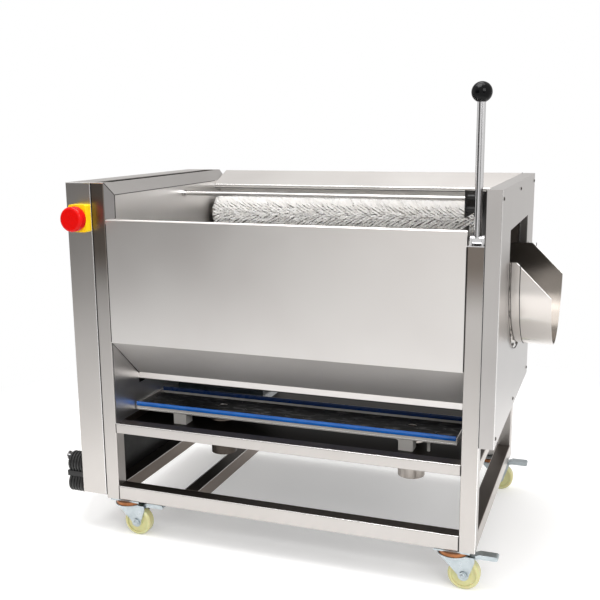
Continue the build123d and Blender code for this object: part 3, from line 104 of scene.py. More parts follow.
def linear(code):
    """A hex sRGB colour as linear RGBA."""
    parts = [int(code[i:i + 2], 16) / 255 for i in (1, 3, 5)]
    return (*[p / 12.92 if p <= 0.04045 else ((p + 0.055) / 1.055) ** 2.4 for p in parts], 1.0)


def add(tree, kind, inputs=None, **settings):
    """Add a node with its settings, its sockets' values and the links into it."""
    node = tree.nodes.new(kind)
    for name, value in settings.items():
        setattr(node, name, value)
    for name, value in (inputs or {}).items():
        if isinstance(value, bpy.types.NodeSocket):
            tree.links.new(value, node.inputs[name])
        else:
            node.inputs[name].default_value = value
    return node


def surface(name, colour, sheen, skin=None, tops=None, **sockets):
    """A finish whose colour, roughness and relief follow grains; sockets are the even ones.

    A grain is a noise on Object coordinates: the size of its features along X, Y and Z in
    millimetres, its octaves and its twist. colour is a grain and the hex colours of its low and
    high parts. sheen is one grain, or two added up, then the values where the roughness starts
    and ends changing, and the roughness at both. skin is a grain and its depth in millimetres.
    tops is the colour above TOPS_TO; the change with height is painted shade.
    """
    material = bpy.data.materials.new(name)
    material.use_nodes = True
    tree = material.node_tree
    tree.nodes.clear()
    place = add(tree, "ShaderNodeTexCoord").outputs["Object"]
    looks = {key.replace("_", " "): value for key, value in sockets.items()}

    grains, start, end, rough_start, rough_end = sheen
    noise = {}
    for grain in dict.fromkeys([*grains, *[part[0] for part in (colour, skin) if part]]):
        *size, octaves, twist = grain
        stretch = add(tree, "ShaderNodeMapping", {"Vector": place,
                                                  "Scale": [1 / (s * MM) for s in size]})
        noise[grain] = add(tree, "ShaderNodeTexNoise", {
            "Vector": stretch.outputs[0], "Scale": 1.0, "Detail": octaves,
            "Distortion": twist}).outputs[0]

    if colour:
        grain, *codes = colour
        ramp = add(tree, "ShaderNodeValToRGB", {"Fac": noise[grain]})
        for stop, where, code in zip(ramp.color_ramp.elements, GRAIN_SPAN, codes):
            stop.position = where
            stop.color = linear(code)
        looks["Base Color"] = ramp.outputs[0]
        # painted shade by height: the colour blends into tops from TOPS_FROM up to TOPS_TO
        if tops:
            height = add(tree, "ShaderNodeSeparateXYZ", {0: place}).outputs[2]
            up = add(tree, "ShaderNodeMapRange", {"Value": height, "From Min": TOPS_FROM * MM,
                                                  "From Max": TOPS_TO * MM},
                     interpolation_type="SMOOTHSTEP")
            both = add(tree, "ShaderNodeMix", {"Factor": up.outputs[0], 6: ramp.outputs[0],
                                               7: linear(tops)}, data_type="RGBA")
            looks["Base Color"] = both.outputs[2]

    value = noise[grains[0]]
    for other in grains[1:]:
        value = add(tree, "ShaderNodeMath", {0: value, 1: noise[other]}, operation="ADD").outputs[0]
    looks["Roughness"] = add(tree, "ShaderNodeMapRange", {
        "Value": value, "From Min": start, "From Max": end,
        "To Min": rough_start, "To Max": rough_end}).outputs[0]
    if skin:
        grain, depth = skin
        looks["Normal"] = add(tree, "ShaderNodeBump", {"Height": noise[grain], "Distance": depth * MM,
                                                       "Strength": 1.0}).outputs[0]
    shader = add(tree, "ShaderNodeBsdfPrincipled", looks)
    add(tree, "ShaderNodeOutputMaterial", {"Surface": shader.outputs[0]})
    FINISHES[name] = material


def brushed_steel(name, dark, light, rough, line, tops=None, metal=1.0):
    """Stainless, belt-ground: fine parallel scratches that blur what it mirrors along one way.

    line is the way of the scratches: 0 along X, 1 along Y, 2 along Z. They are 160 mm long and
    drawn 1.2 mm apart, coarser than the real 0.1 mm, so that they show at all. Wide faint
    clouds, 230 mm across, are where hands and cloths have dulled it. metal is under 1 where a
    blasted or stained surface scatters light.
    """
    size = [1.2, 1.2, 1.2]
    size[line] = 160.0
    scratch = (*size, 3.0, 0.0)
    cloud = (230.0, 230.0, 230.0, 2.0, 0.3)
    surface(name, (cloud, dark, light), ((scratch, cloud), 0.7, 1.3, rough - 0.015, rough + 0.02),
            (scratch, 0.003), tops, Metallic=metal)


def plated_steel(name, dark, light, rough):
    """Plated pressed steel, or bronze: a little cloudy, with dull handling marks 16 mm wide.

    Its crystals are drawn as 3 mm ripples, coarser than the real 0.5 mm, so that they show.
    """
    cloud = (16.0, 16.0, 16.0, 2.0, 0.0)
    crystals = (3.0, 3.0, 3.0, 3.0, 0.0)
    surface(name, (cloud, dark, light), ((cloud,), *GRAIN_SPAN, rough + 0.06, rough - 0.06),
            (crystals, 0.008), Metallic=1.0)


def moulded_plastic(name, dark, light, rough, depth, **sockets):
    """Moulded plastic or rubber: even colour, a spark-eroded skin and rubbed, shinier patches.

    The patches are 25 mm wide, and the skin's grain is drawn 2.4 mm wide, coarser than the real
    0.3 mm, so that it softens the highlights.
    """
    patch = (25.0, 25.0, 25.0, 3.0, 0.0)
    eroded = (2.4, 2.4, 2.4, 3.0, 0.0)
    surface(name, (patch, dark, light), ((patch,), *GRAIN_SPAN, rough + 0.06, rough - 0.06),
            (eroded, depth), **sockets)


def sprayed_enamel(name, dark, light, rough):
    """Enamel sprayed on cast iron: glossy, with orange peel 3 mm wide over the casting's skin."""
    drift = (60.0, 60.0, 60.0, 3.0, 0.0)
    dust = (12.0, 12.0, 12.0, 3.0, 0.0)
    peel = (3.0, 3.0, 3.0, 3.0, 0.0)
    surface(name, (drift, dark, light), ((dust,), *GRAIN_SPAN, rough - 0.05, rough + 0.08),
            (peel, 0.08), Coat_Weight=0.5, Coat_Roughness=0.15)


def drawn_nylon(name, worn, fresh):
    """Nylon bristle: each strand smooth and slightly see-through, whiter every few millimetres."""
    stain = (5.0, 5.0, 5.0, 3.0, 0.0)
    rub = (3.0, 3.0, 3.0, 3.0, 0.0)
    surface(name, (stain, worn, fresh), ((rub,), *GRAIN_SPAN, 0.3, 0.5),
            Subsurface_Weight=0.25, Subsurface_Scale=0.004, Subsurface_Radius=(1.0, 0.9, 0.8))


def wet_rubber(name, dark, light):
    """Black ribbed rubber under a film of water: mirror-like where wet, dull where it has dried.

    The film breaks up into pools 35 mm long and 12 mm wide, along the ribs.
    """
    film = (35.0, 12.0, 12.0, 4.0, 0.8)
    grime = (6.0, 6.0, 6.0, 3.0, 0.0)
    surface(name, (grime, dark, light), ((film,), 0.5, 0.65, 0.60, 0.28), (film, 0.04),
            Specular_IOR_Level=0.2)


def clear_water(name):
    """Drops of water: clear and smooth, they bend what lies under them and glint."""
    ripple = (4.0, 4.0, 4.0, 3.0, 0.0)
    surface(name, None, ((ripple,), *GRAIN_SPAN, 0.0, 0.05),
            Transmission_Weight=1.0, IOR=1.33, Base_Color=linear("#f4f8fa"))


# the front, rear and hood sheets, ground lengthwise: nearly white, with long soft reflections
brushed_steel("panel_steel", "#dedad7", "#e3e0dd", 0.30, 0)
# the front's slope is blasted: an even grey that mirrors next to nothing
brushed_steel("slope_steel", "#b5b2af", "#bdbab7", 0.52, 0, metal=0.6)
# the drive housing, ground upwards: its reflections run down it in streaks
brushed_steel("housing_steel", "#c0bcb8", "#c5c1be", 0.30, 2)
# the uprights, ground along the tube: painted shade makes them darker and browner towards their upper
# ends
brushed_steel("upright_steel_shaded_tops", "#bab6b2", "#bfbbb8", 0.30, 2, tops="#787069")
# tubes along the depth, ground along the tube: warm grey
brushed_steel("tube_steel_side", "#b9b2ac", "#c0bab4", 0.30, 1)
# painted shade: darker, duller copies of the tube steel for tube faces that lie in the machine's shade
brushed_steel("tube_steel_shaded", "#59524c", "#645c56", 0.42, 0)
brushed_steel("rail_shade_steel", "#7a7068", "#847a72", 0.34, 1)
# painted shade: the inner side of the rear sheet is black low down, behind the tray, and pale higher up
brushed_steel("back_inner_shaded_steel", "#26221f", "#2e2a26", 0.40, 0, tops="#cfccc9")
# the shelf under the tray: nearly black, painted shade under the tray
brushed_steel("shelf_shaded_steel", "#26221f", "#2e2a26", 0.50, 0)
# pickled sheet and legs: pale and matt, half like paint
brushed_steel("leg_steel", "#cfccc8", "#dad7d3", 0.40, 2, metal=0.35)
# the funnel's wall, polished by what falls in: the palest steel of all
brushed_steel("funnel_steel", "#e4e2e0", "#e9e7e6", 0.32, 2)
# painted shade: its mitred bands are darker copies of the funnel steel, the one in front the darkest
brushed_steel("funnel_band_shaded_steel", "#c3c0be", "#c9c6c4", 0.34, 1)
brushed_steel("funnel_front_shaded_steel", "#949190", "#9a9796", 0.34, 2)
# the end cover: plain mid grey, ground upwards
brushed_steel("cover_steel", "#b6b3b1", "#bdbab8", 0.30, 2)
# the chute, drawn and polished: sharper reflections that bend round it; its inside is a darker copy,
# painted shade
brushed_steel("chute_steel", "#c6c1bc", "#cec9c5", 0.18, 1)
brushed_steel("chute_inner_shaded_steel", "#7b756f", "#857f79", 0.22, 1)
# drawn tube and bar: narrow bright lines along them
brushed_steel("pipe_steel", "#d3d1d0", "#dbd9d8", 0.16, 0)
brushed_steel("rod_steel", "#cccccd", "#d6d6d8", 0.18, 2)
# freshly ground sheet edges glint white
brushed_steel("edge_steel", "#ecebea", "#f2f1f0", 0.22, 0)
# oiled chain and wheels: dark, with blurred highlights
brushed_steel("chain_steel", "#6f6a64", "#8b867f", 0.38, 2)
# screw heads, blacked by heat: small dark beads with one highlight each
brushed_steel("screw_steel", "#4e4a47", "#5c5854", 0.24, 1)
# satin black plate: the gate's own black, and painted shade on the drive plate inside the housing
moulded_plastic("black_steel_and_shade", "#080707", "#0e0d0d", 0.36, 0.004, Specular_IOR_Level=0.3)
# matt black strips: painted shade of the gaps between sheets and tubes, so that joints read as thin dark
# lines
moulded_plastic("seam_shade_black", "#0e0c0b", "#171413", 0.50, 0.01)
# zinc plate: pale and bluish beside the warm stainless
plated_steel("zinc", "#a9b2b6", "#bac2c6", 0.32)
# the swivel races, bare turned bronze: warm brown, blurred highlights
plated_steel("raw_bronze", "#8a5a3c", "#a8714c", 0.38)
# washed bristle: nearly white; the packed roots are dark grey, painted shade between the strands
drawn_nylon("bristle_nylon", "#f4f2ef", "#fdfcfb")
drawn_nylon("packed_nylon_shaded", "#55514e", "#97938e")
# machined nylon blocks: matt ivory
moulded_plastic("bearing_nylon", "#d8d5cb", "#e8e5dc", 0.45, 0.01)
# cast nylon wheels: yellowed, and light sinks in a little
moulded_plastic("wheel_nylon", "#cac68f", "#d5d29c", 0.32, 0.006,
                Subsurface_Weight=0.15, Subsurface_Scale=0.006)
# pressed and polished bakelite: black, with one sharp window of light
moulded_plastic("knob_bakelite", "#040405", "#08080a", 0.10, 0.001,
                Specular_IOR_Level=0.12, Coat_Weight=0.06, Coat_Roughness=0.04)
# the stop's polished red ABS cap and its satin yellow ABS box
moulded_plastic("button_red", "#cc0604", "#d80c07", 0.28, 0.001,
                Specular_IOR_Level=0.15, Coat_Weight=0.1, Coat_Roughness=0.08)
moulded_plastic("box_yellow", "#fcd012", "#ffda1c", 0.40, 0.002, Specular_IOR_Level=0.3)
# extruded blue PVC, glossy where it is wet in front; the rear trim is a darker, duller copy, painted
# shade from the slope
moulded_plastic("trim_blue", "#1363bd", "#1b70cf", 0.18, 0.002,
                Coat_Weight=0.5, Coat_Roughness=0.06)
moulded_plastic("trim_blue_shaded", "#12305f", "#173b78", 0.30, 0.004)
# the tray's mat: black with broken wet highlights
wet_rubber("tray_rubber", "#08090a", "#0f1112")
# the lead's rubber sheath: soft black with a faint bloom
moulded_plastic("cord_rubber", "#0b0b0b", "#161616", 0.40, 0.005)
# the motor's blue-grey enamel
sprayed_enamel("motor_enamel", "#3a444b", "#4a565e", 0.35)
clear_water("water")

# painted shade is carried here by the uprights' darker upper ends, the drive plate's black, and the dark
# shelf and left drain under the tray
NODE_FINISHES = {
    "frame_front": "upright_steel_shaded_tops", "frame_back": "upright_steel_shaded_tops",
    "side_rails": "tube_steel_side", "front_panel": "panel_steel", "back_panel": "panel_steel",
    "left_end_plate": "funnel_steel", "right_end_plate": "cover_steel", "hood": "panel_steel",
    "drive_housing": "housing_steel", "drive_plate": "black_steel_and_shade", "end_cover": "cover_steel",
    "chute": "chute_steel", "spray_pipe": "pipe_steel", "shaft_bearings": "bearing_nylon",
    "drive_chains": "chain_steel", "gear_motor": "motor_enamel", "motor_sprocket": "chain_steel",
    "gate_plate": "black_steel_and_shade", "gate_pivot": "rod_steel", "lever_rod": "rod_steel",
    "lever_knob": "knob_bakelite", "stop_box": "box_yellow", "stop_button": "button_red",
    "drain_tray": "panel_steel", "tray_mat": "tray_rubber", "tray_support": "leg_steel",
    "tray_shelf": "shelf_shaded_steel", "drain_left": "tube_steel_shaded",
    "drain_right": "tube_steel_side", "castor_plates": "zinc", "castor_races": "raw_bronze",
    "cord_hook": "rod_steel", "cord_gland": "cord_rubber", "cord_plug": "cord_rubber",
    "cord_tie": "cord_rubber",
}
for corner in CORNERS:
    NODE_FINISHES[f"castor_fork_{corner}"] = "zinc"
    NODE_FINISHES[f"castor_wheel_{corner}"] = "wheel_nylon"
    NODE_FINISHES[f"brake_pedal_{corner}"] = "zinc"

for node, finish in NODE_FINISHES.items():
    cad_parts[node].data.materials.clear()
    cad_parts[node].data.materials.append(FINISHES[finish])


# ---------------------------------------------------------------- faces with a finish of their own
LEVEL = 0.9  # a face's normal leans less than 26 degrees from straight up
FACING = 0.5  # less than 60 degrees from the way named
SLANTED = 0.3  # a mitred face that leans that way at all
UNDER_TRAY = 0.35  # metres above the floor
DRAIN_SHADE = 0.29
CHUTE_INSIDE = 0.02  # metres from the chute's axis, square to a face


def second_finish(node, finish, chosen):
    """Give the faces of a CAD node that a test picks a finish of their own."""
    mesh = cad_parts[node].data
    mesh.materials.append(FINISHES[finish])
    for face in mesh.polygons:
        if chosen(face.normal, face.center):
            face.material_index = len(mesh.materials) - 1


def inside_chute(way, middle):
    """Whether a face of the chute looks at the axis of its round bottom."""
    axis = at(0, *CHUTE_MIDDLE)
    return way.dot(Vector((0, middle.y - axis.y, middle.z - axis.z))) < -CHUTE_INSIDE


# painted shade: the rails' upper faces, in the dark under the machine, get a darker, duller copy, unlike
# the ground fronts
for node in ("frame_front", "frame_back", "side_rails"):
    second_finish(node, "tube_steel_shaded",
                  lambda way, middle: way.z > LEVEL and middle.z < UNDER_TRAY)
# the tray's front lip is bright, and the left rails' inner sides get painted shade, a darker copy of
# their steel
second_finish("drain_tray", "leg_steel", lambda way, middle: way.y < -FACING)
second_finish("side_rails", "rail_shade_steel", lambda way, middle: way.x > FACING and middle.x < 0)
# painted shade on insides: darker copies on the rear sheet's inner side, the right drain's upper part
# and the chute's inside
second_finish("back_panel", "back_inner_shaded_steel", lambda way, middle: way.y < -FACING)
second_finish("drain_right", "tube_steel_shaded", lambda way, middle: middle.z > DRAIN_SHADE)
second_finish("chute", "chute_inner_shaded_steel", inside_chute)
# the hood's front hem, the slope below the front's fold, and the funnel's mitred bands, which get
# painted shade
second_finish("hood", "leg_steel", lambda way, middle: way.y < -FACING)
second_finish("front_panel", "slope_steel", lambda way, middle: way.y < -FACING and way.z < -FACING)
second_finish("left_end_plate", "funnel_band_shaded_steel",
              lambda way, middle: way.x > SLANTED and way.z > SLANTED)
second_finish("left_end_plate", "funnel_front_shaded_steel",
              lambda way, middle: way.x > SLANTED and way.y < -SLANTED)


def new_piece(name, mesh, finish, body, *nodes):
    """Show a finished mesh on a CAD body, standing for the CAD nodes named."""
    piece = bpy.data.objects.new(name, mesh)
    bpy.context.scene.collection.objects.link(piece)
    mesh.materials.clear()
    mesh.materials.append(FINISHES[finish])
    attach(piece, body)
    if nodes:
        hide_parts(*nodes)
    return piece


# ---------------------------------------------------------------- supply cord, hung up as a hank
CORD = 8.0  # across
CORD_ROUTE = [
    (-103.0, 215.0, 190.0), (-124.0, 215.0, 190.0), (-144.0, 211.0, 180.0), (-157.0, 201.0, 161.0),
    (-158.0, 184.0, 139.0), (-152.0, 162.0, 121.5), (-145.0, 137.0, 110.0), (-137.5, 110.0, 103.0),
    (-130.0, 82.0, 98.5), (-123.5, 57.0, 96.6),
]
HANK_FOLD = 24.0  # radius of the folds, and where their centres lie from the hank's middle
HANK_SIDE = 39.0
HANK_RISE = 28.0
HANK_Y = 36.0
HANK_Z = 148.0
HANK_X = (-123.0, -83.0)
HANK_TURNS = 4.6
PLUG_START = (-83.0, 62.0, 180.0)
PLUG_INSIDE = (-83.0, 64.5, 176.2)


def hank_points():
    """Control points of the wound part, from the bottom of the outermost turn to the plug."""
    lean = asin(HANK_RISE / (2 * HANK_FOLD)) * 180 / pi
    # each arc: its centre across and up, its first and last angle, and how many points it has
    arcs = [(0, -HANK_RISE, -90, -180 - lean, 6), (-HANK_SIDE, 0, -lean, lean, 3),
            (0, HANK_RISE, 180 + lean, -lean, 12), (HANK_SIDE, 0, 180 - lean, 180 + lean, 3),
            (0, -HANK_RISE, lean, -90, 6)]
    turn = []
    for side, rise, start, end, count in arcs:
        for step in range(count):
            angle = radians(start + (end - start) * (step + 0.5) / count)
            turn.append((HANK_Y + side + HANK_FOLD * cos(angle), HANK_Z + rise + HANK_FOLD * sin(angle)))
    total = round(HANK_TURNS * len(turn))
    shift = (HANK_X[1] - HANK_X[0]) / total
    return [(HANK_X[0] + shift * step, *turn[step % len(turn)]) for step in range(total)]


def make_cord():
    """The mains lead: down from its gland, round its hank and into the plug."""
    points = [*CORD_ROUTE, *hank_points(), PLUG_START, PLUG_INSIDE]
    line = bpy.data.curves.new("supply_cord", "CURVE")
    line.dimensions = "3D"
    line.bevel_depth = CORD / 2 * MM
    line.bevel_resolution = 5
    line.resolution_u = 6
    spline = line.splines.new("NURBS")
    spline.points.add(len(points) - 1)
    for point, place in zip(spline.points, points):
        point.co = (*at(*place), 1)
    spline.order_u = 3
    spline.use_endpoint_u = True
    line.use_fill_caps = True
    line.materials.append(FINISHES["cord_rubber"])
    cord = bpy.data.objects.new("supply_cord", line)
    bpy.context.scene.collection.objects.link(cord)
    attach(cord, "machine")
    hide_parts("cord_lead", "cord_hank")


make_cord()


# ---------------------------------------------------------------- pieces that geometry nodes make
def new_tree(name, **kinds):
    """An empty geometry nodes tree with these inputs; returns it, its inputs and their identifiers."""
    tree = bpy.data.node_groups.new(name, "GeometryNodeTree")
    tree.interface.new_socket("Mesh", in_out="OUTPUT", socket_type="NodeSocketGeometry")
    made = {key.replace("_", " "): tree.interface.new_socket(
        key.replace("_", " "), in_out="INPUT", socket_type="NodeSocket" + kind)
        for key, kind in kinds.items()}
    given = add(tree, "NodeGroupInput").outputs
    return tree, given, {key: socket.identifier for key, socket in made.items()}


def close_tree(tree, shape, finish):
    """End a tree with its instances made real and its finish set."""
    real = add(tree, "GeometryNodeRealizeInstances", {"Geometry": shape})
    coat = add(tree, "GeometryNodeSetMaterial", {"Geometry": real.outputs[0], "Material": finish})
    add(tree, "NodeGroupOutput", {0: coat.outputs[0]})


def grown(name, tree, sockets, values, start=None):
    """The mesh that a geometry nodes tree makes from a starting mesh and the values of its inputs."""
    holder = bpy.data.objects.new(name, start or bpy.data.meshes.new(name))
    bpy.context.scene.collection.objects.link(holder)
    modifier = holder.modifiers.new("grow", "NODES")
    modifier.node_group = tree
    for key, value in values.items():
        modifier[sockets[key]] = value
    bpy.context.view_layer.update()
    ready = holder.evaluated_get(bpy.context.evaluated_depsgraph_get())
    mesh = bpy.data.meshes.new_from_object(ready)
    mesh.name = name
    bpy.data.objects.remove(holder)
    return mesh


# ---------------------------------------------------------------- brush rollers
ROLLERS = 9
ROLLER_ARC = (319.0, 790.0, 259.0, 3.0)  # centre Y and Z, radius, tilt in degrees
ROLLER_GAP = 101.6  # between neighbouring axes
CORE_RADIUS = 30.0
CORE_MATCH = 0.2  # how near to CORE_RADIUS a corner of the core's skin lies
BRUSH_RADIUS = 50.0
SLEEVE_SKIN = 1.0  # how near to BRUSH_RADIUS the sleeve's outer corners lie
BRUSH_X = (70.0, 893.0)

PACKED_RADIUS = 35.0  # below this the strands stand so close that nothing shows between them
PACKED_STEPS = (72, 150)  # round and along
TUFT_CROWN = 0.8  # two waves of this height cross, so crowns stand up to 1.6 mm over their gaps
CROWN_WAVES = ((2.1, 1.7), (3.4, -2.6))  # radians for each step along and round

BRISTLE_LEAN = 12.0  # how far the tips lie towards the drive end
TUFTS_ROUND = 27
TUFTS_ALONG = 112
TUFT_UNEVEN = (0.0012, 0.03)  # share of the brush's length, and radians round it
TUFT_TILT = 0.1  # radians
TUFT_SPIN = 6.28  # a whole turn, so that no two tufts look alike
TUFT_HOLE = 1.1  # radius that a tuft's strands stand on
TUFT_SPLAY = 60.0  # how far a strand leans out, for each metre from its tuft's middle
STRANDS = 3
STRAND_LENGTH = 21.0
STRAND_SHORTEST = 0.92  # of the full length
# a strand is drawn 2.8 mm thick at its root and 1.7 mm at its tip, where a real one is 0.5 mm,
# so that it shows
STRAND_ROOT = 1.4
STRAND_TIP = 0.85
ROOT_RADIUS = 31.5


def roller_axis(index):
    """The axis of a roller in (Y, Z)."""
    y, z, radius, tilt = ROLLER_ARC
    step = 2 * asin(ROLLER_GAP / 2 / radius)
    angle = (index - (ROLLERS - 1) / 2) * step + radians(tilt)
    return y + radius * sin(angle), z - radius * cos(angle)


def bristle_tree():
    """One brush: tufts of strands set round a core in staggered rows, packed close at their roots."""
    tree, given, sockets = new_tree("bristles_round_a_core", Core_Radius="Float", Strand_Length="Float",
                                    Brush_Length="Float", Lean="Float", Seed="Int", Finish="Material")
    # a grid one unit square becomes the tufts' places: X along the core, Y round it
    grid = add(tree, "GeometryNodeMeshGrid", {"Size X": 1.0, "Size Y": 1.0, "Vertices X": TUFTS_ALONG,
                                              "Vertices Y": TUFTS_ROUND})
    spot = add(tree, "ShaderNodeSeparateXYZ", {0: add(tree, "GeometryNodeInputPosition").outputs[0]})
    # the grid's last row would lie on the first one, so a row is a share of the turn short of it
    turn = add(tree, "ShaderNodeMath", {0: spot.outputs[1], 1: 2 * pi * (TUFTS_ROUND - 1) / TUFTS_ROUND},
               operation="MULTIPLY").outputs[0]
    jitter = add(tree, "FunctionNodeRandomValue", {"Min": (-TUFT_UNEVEN[0], -TUFT_UNEVEN[1], 0),
                                                   "Max": (*TUFT_UNEVEN, 0), "Seed": given["Seed"]},
                 data_type="FLOAT_VECTOR")
    wobble = add(tree, "ShaderNodeSeparateXYZ", {0: jitter.outputs[0]})
    # rows climb round the core, half a pitch for each step along it
    climb = add(tree, "ShaderNodeMath", {0: spot.outputs[0], 1: pi * TUFTS_ALONG / TUFTS_ROUND, 2: turn},
                operation="MULTIPLY_ADD").outputs[0]
    angle = add(tree, "ShaderNodeMath", {0: climb, 1: wobble.outputs[1]}, operation="ADD").outputs[0]
    across = add(tree, "ShaderNodeMath", {0: spot.outputs[0], 1: wobble.outputs[0]},
                 operation="ADD").outputs[0]
    along = add(tree, "ShaderNodeMath", {0: across, 1: given["Brush Length"]},
                operation="MULTIPLY").outputs[0]
    up = add(tree, "ShaderNodeMath", {0: angle}, operation="COSINE").outputs[0]
    back = add(tree, "ShaderNodeMath", {0: angle}, operation="SINE").outputs[0]
    out = add(tree, "ShaderNodeCombineXYZ", {1: up, 2: back})
    root = add(tree, "ShaderNodeVectorMath", {0: out.outputs[0], "Scale": given["Core Radius"]},
               operation="SCALE").outputs[0]
    shift = add(tree, "ShaderNodeCombineXYZ", {0: along}).outputs[0]
    place = add(tree, "ShaderNodeVectorMath", {0: root, 1: shift}, operation="ADD").outputs[0]
    # a tuft points straight out, and as far along the core as its lean asks for
    lean = add(tree, "ShaderNodeMath", {0: given["Lean"], 1: given["Strand Length"]},
               operation="DIVIDE").outputs[0]
    tip = add(tree, "ShaderNodeCombineXYZ", {0: lean}).outputs[0]
    aim = add(tree, "ShaderNodeVectorMath", {0: out.outputs[0], 1: tip}, operation="ADD").outputs[0]
    # one tuft: strands from one hole, splayed apart towards their tips
    strand = add(tree, "GeometryNodeMeshCone", {"Vertices": 3, "Radius Top": STRAND_TIP * MM,
                                                "Radius Bottom": STRAND_ROOT * MM,
                                                "Depth": given["Strand Length"]}, fill_type="NONE")
    hole = add(tree, "GeometryNodeMeshCircle", {"Vertices": STRANDS, "Radius": TUFT_HOLE * MM})
    splay = add(tree, "ShaderNodeVectorMath", {0: add(tree, "GeometryNodeInputPosition").outputs[0],
                                               "Scale": TUFT_SPLAY}, operation="SCALE").outputs[0]
    upright = add(tree, "ShaderNodeVectorMath", {0: splay, 1: (0, 0, 1)}, operation="ADD").outputs[0]
    fan = add(tree, "FunctionNodeAlignRotationToVector", {"Vector": upright}, axis="Z")
    tuft = add(tree, "GeometryNodeInstanceOnPoints", {"Points": hole.outputs[0],
                                                      "Instance": strand.outputs[0],
                                                      "Rotation": fan.outputs[0]})
    # the aim is worked out on the flat grid and kept, because moving the grid would change it
    stored = add(tree, "GeometryNodeStoreNamedAttribute", {"Geometry": grid.outputs[0], "Name": "aim",
                                                           "Value": aim},
                 data_type="FLOAT_VECTOR", domain="POINT")
    moved = add(tree, "GeometryNodeSetPosition", {"Geometry": stored.outputs[0], "Position": place})
    read = add(tree, "GeometryNodeInputNamedAttribute", {"Name": "aim"}, data_type="FLOAT_VECTOR")
    turned = add(tree, "FunctionNodeAlignRotationToVector", {"Vector": read.outputs[0]}, axis="Z")
    spin = add(tree, "FunctionNodeRandomValue", {"Min": (-TUFT_TILT, -TUFT_TILT, 0.0),
                                                 "Max": (TUFT_TILT, TUFT_TILT, TUFT_SPIN),
                                                 "Seed": given["Seed"]}, data_type="FLOAT_VECTOR")
    by = add(tree, "FunctionNodeEulerToRotation", {0: spin.outputs[0]})
    loose = add(tree, "FunctionNodeRotateRotation", {"Rotation": turned.outputs[0],
                                                     "Rotate By": by.outputs[0]},
                rotation_space="LOCAL")
    length = add(tree, "FunctionNodeRandomValue", {"Min": STRAND_SHORTEST, "Max": 1.0,
                                                   "Seed": given["Seed"]}, data_type="FLOAT")
    size = add(tree, "ShaderNodeCombineXYZ", {0: 1.0, 1: 1.0, 2: length.outputs[1]}).outputs[0]
    brush = add(tree, "GeometryNodeInstanceOnPoints", {"Points": moved.outputs[0],
                                                       "Instance": tuft.outputs[0],
                                                       "Rotation": loose.outputs[0], "Scale": size})
    close_tree(tree, brush.outputs[0], given["Finish"])
    return tree, sockets


def packed_roots(name, y, z):
    """The roots of a brush's strands, too close to tell apart: a sleeve with a rough, tufted skin."""
    around, along = PACKED_STEPS
    axis = at(0, y, z)
    left, right = (at(x, 0, 0).x for x in BRUSH_X)
    shape = bmesh.new()
    rings = []
    for step in range(along + 1):
        x = left + (right - left) * step / along
        ring = []
        for index in range(around):
            angle = 2 * pi * index / around
            crown = sum(TUFT_CROWN * sin(step * run + index * rise) for run, rise in CROWN_WAVES)
            radius = (PACKED_RADIUS + (crown if 0 < step < along else 0)) * MM
            ring.append(shape.verts.new((x, axis.y + radius * cos(angle), axis.z + radius * sin(angle))))
        rings.append(ring)
    core = [[shape.verts.new((x, axis.y + CORE_RADIUS * MM * cos(2 * pi * i / around),
                              axis.z + CORE_RADIUS * MM * sin(2 * pi * i / around)))
             for i in range(around)] for x in (left, right)]
    for one, other in zip([core[0], *rings], [*rings, core[1]]):
        for index in range(around):
            shape.faces.new((one[index], one[index - 1], other[index - 1], other[index]))
    bmesh.ops.recalc_face_normals(shape, faces=shape.faces)
    mesh = bpy.data.meshes.new(name)
    shape.to_mesh(mesh)
    shape.free()
    mesh.polygons.foreach_set("use_smooth", [True] * len(mesh.polygons))
    return mesh


def bare_core(name, node, y, z):
    """A roller's shaft, core and chain wheels: its CAD mesh without the bristles' sleeve."""
    shape = bmesh.new()
    shape.from_mesh(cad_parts[node].data)
    bmesh.ops.remove_doubles(shape, verts=shape.verts, dist=SAME_POINT)
    axis = at(0, y, z)
    sleeve = []
    for face in shape.faces:
        outs = [Vector((0, v.co.y - axis.y, v.co.z - axis.z)) for v in face.verts]
        # the sleeve's outside and ends reach its full radius, and its inside faces the core's skin
        on_core = all(abs(out.length - CORE_RADIUS * MM) < CORE_MATCH * MM for out in outs)
        if any(out.length > (BRUSH_RADIUS - SLEEVE_SKIN) * MM for out in outs) or (
                on_core and face.normal.dot(sum(outs, Vector())) < 0):
            sleeve.append(face)
    bmesh.ops.delete(shape, geom=sleeve, context="FACES")
    mesh = bpy.data.meshes.new(name)
    shape.to_mesh(mesh)
    shape.free()
    return mesh


def make_rollers():
    """Nine cores with their bristles, each set turning with its own CAD body."""
    tree, sockets = bristle_tree()
    for index in range(ROLLERS):
        number = index + 1
        body, node = f"roller_body_{number}", f"roller_{number}"
        y, z = roller_axis(index)
        new_piece(f"roller_core_{number}", bare_core(f"roller_core_{number}", node, y, z),
                  "chain_steel", body, node)
        # the packed roots' dark grey is painted shade between the strands
        new_piece(f"bristle_roots_{number}", packed_roots(f"bristle_roots_{number}", y, z),
                  "packed_nylon_shaded", body, node)
        values = {"Core Radius": ROOT_RADIUS * MM, "Strand Length": STRAND_LENGTH * MM,
                  "Brush Length": (BRUSH_X[1] - BRUSH_X[0] - 2 * BRISTLE_LEAN) * MM,
                  "Lean": -BRISTLE_LEAN * MM, "Seed": number, "Finish": FINISHES["bristle_nylon"]}
        brush = grown(f"bristles_{number}", tree, sockets, values)
        brush.transform(Matrix.Translation(at((BRUSH_X[0] + BRUSH_X[1] + BRISTLE_LEAN) / 2, y, z)))
        new_piece(f"bristles_{number}", brush, "bristle_nylon", body, node)


make_rollers()


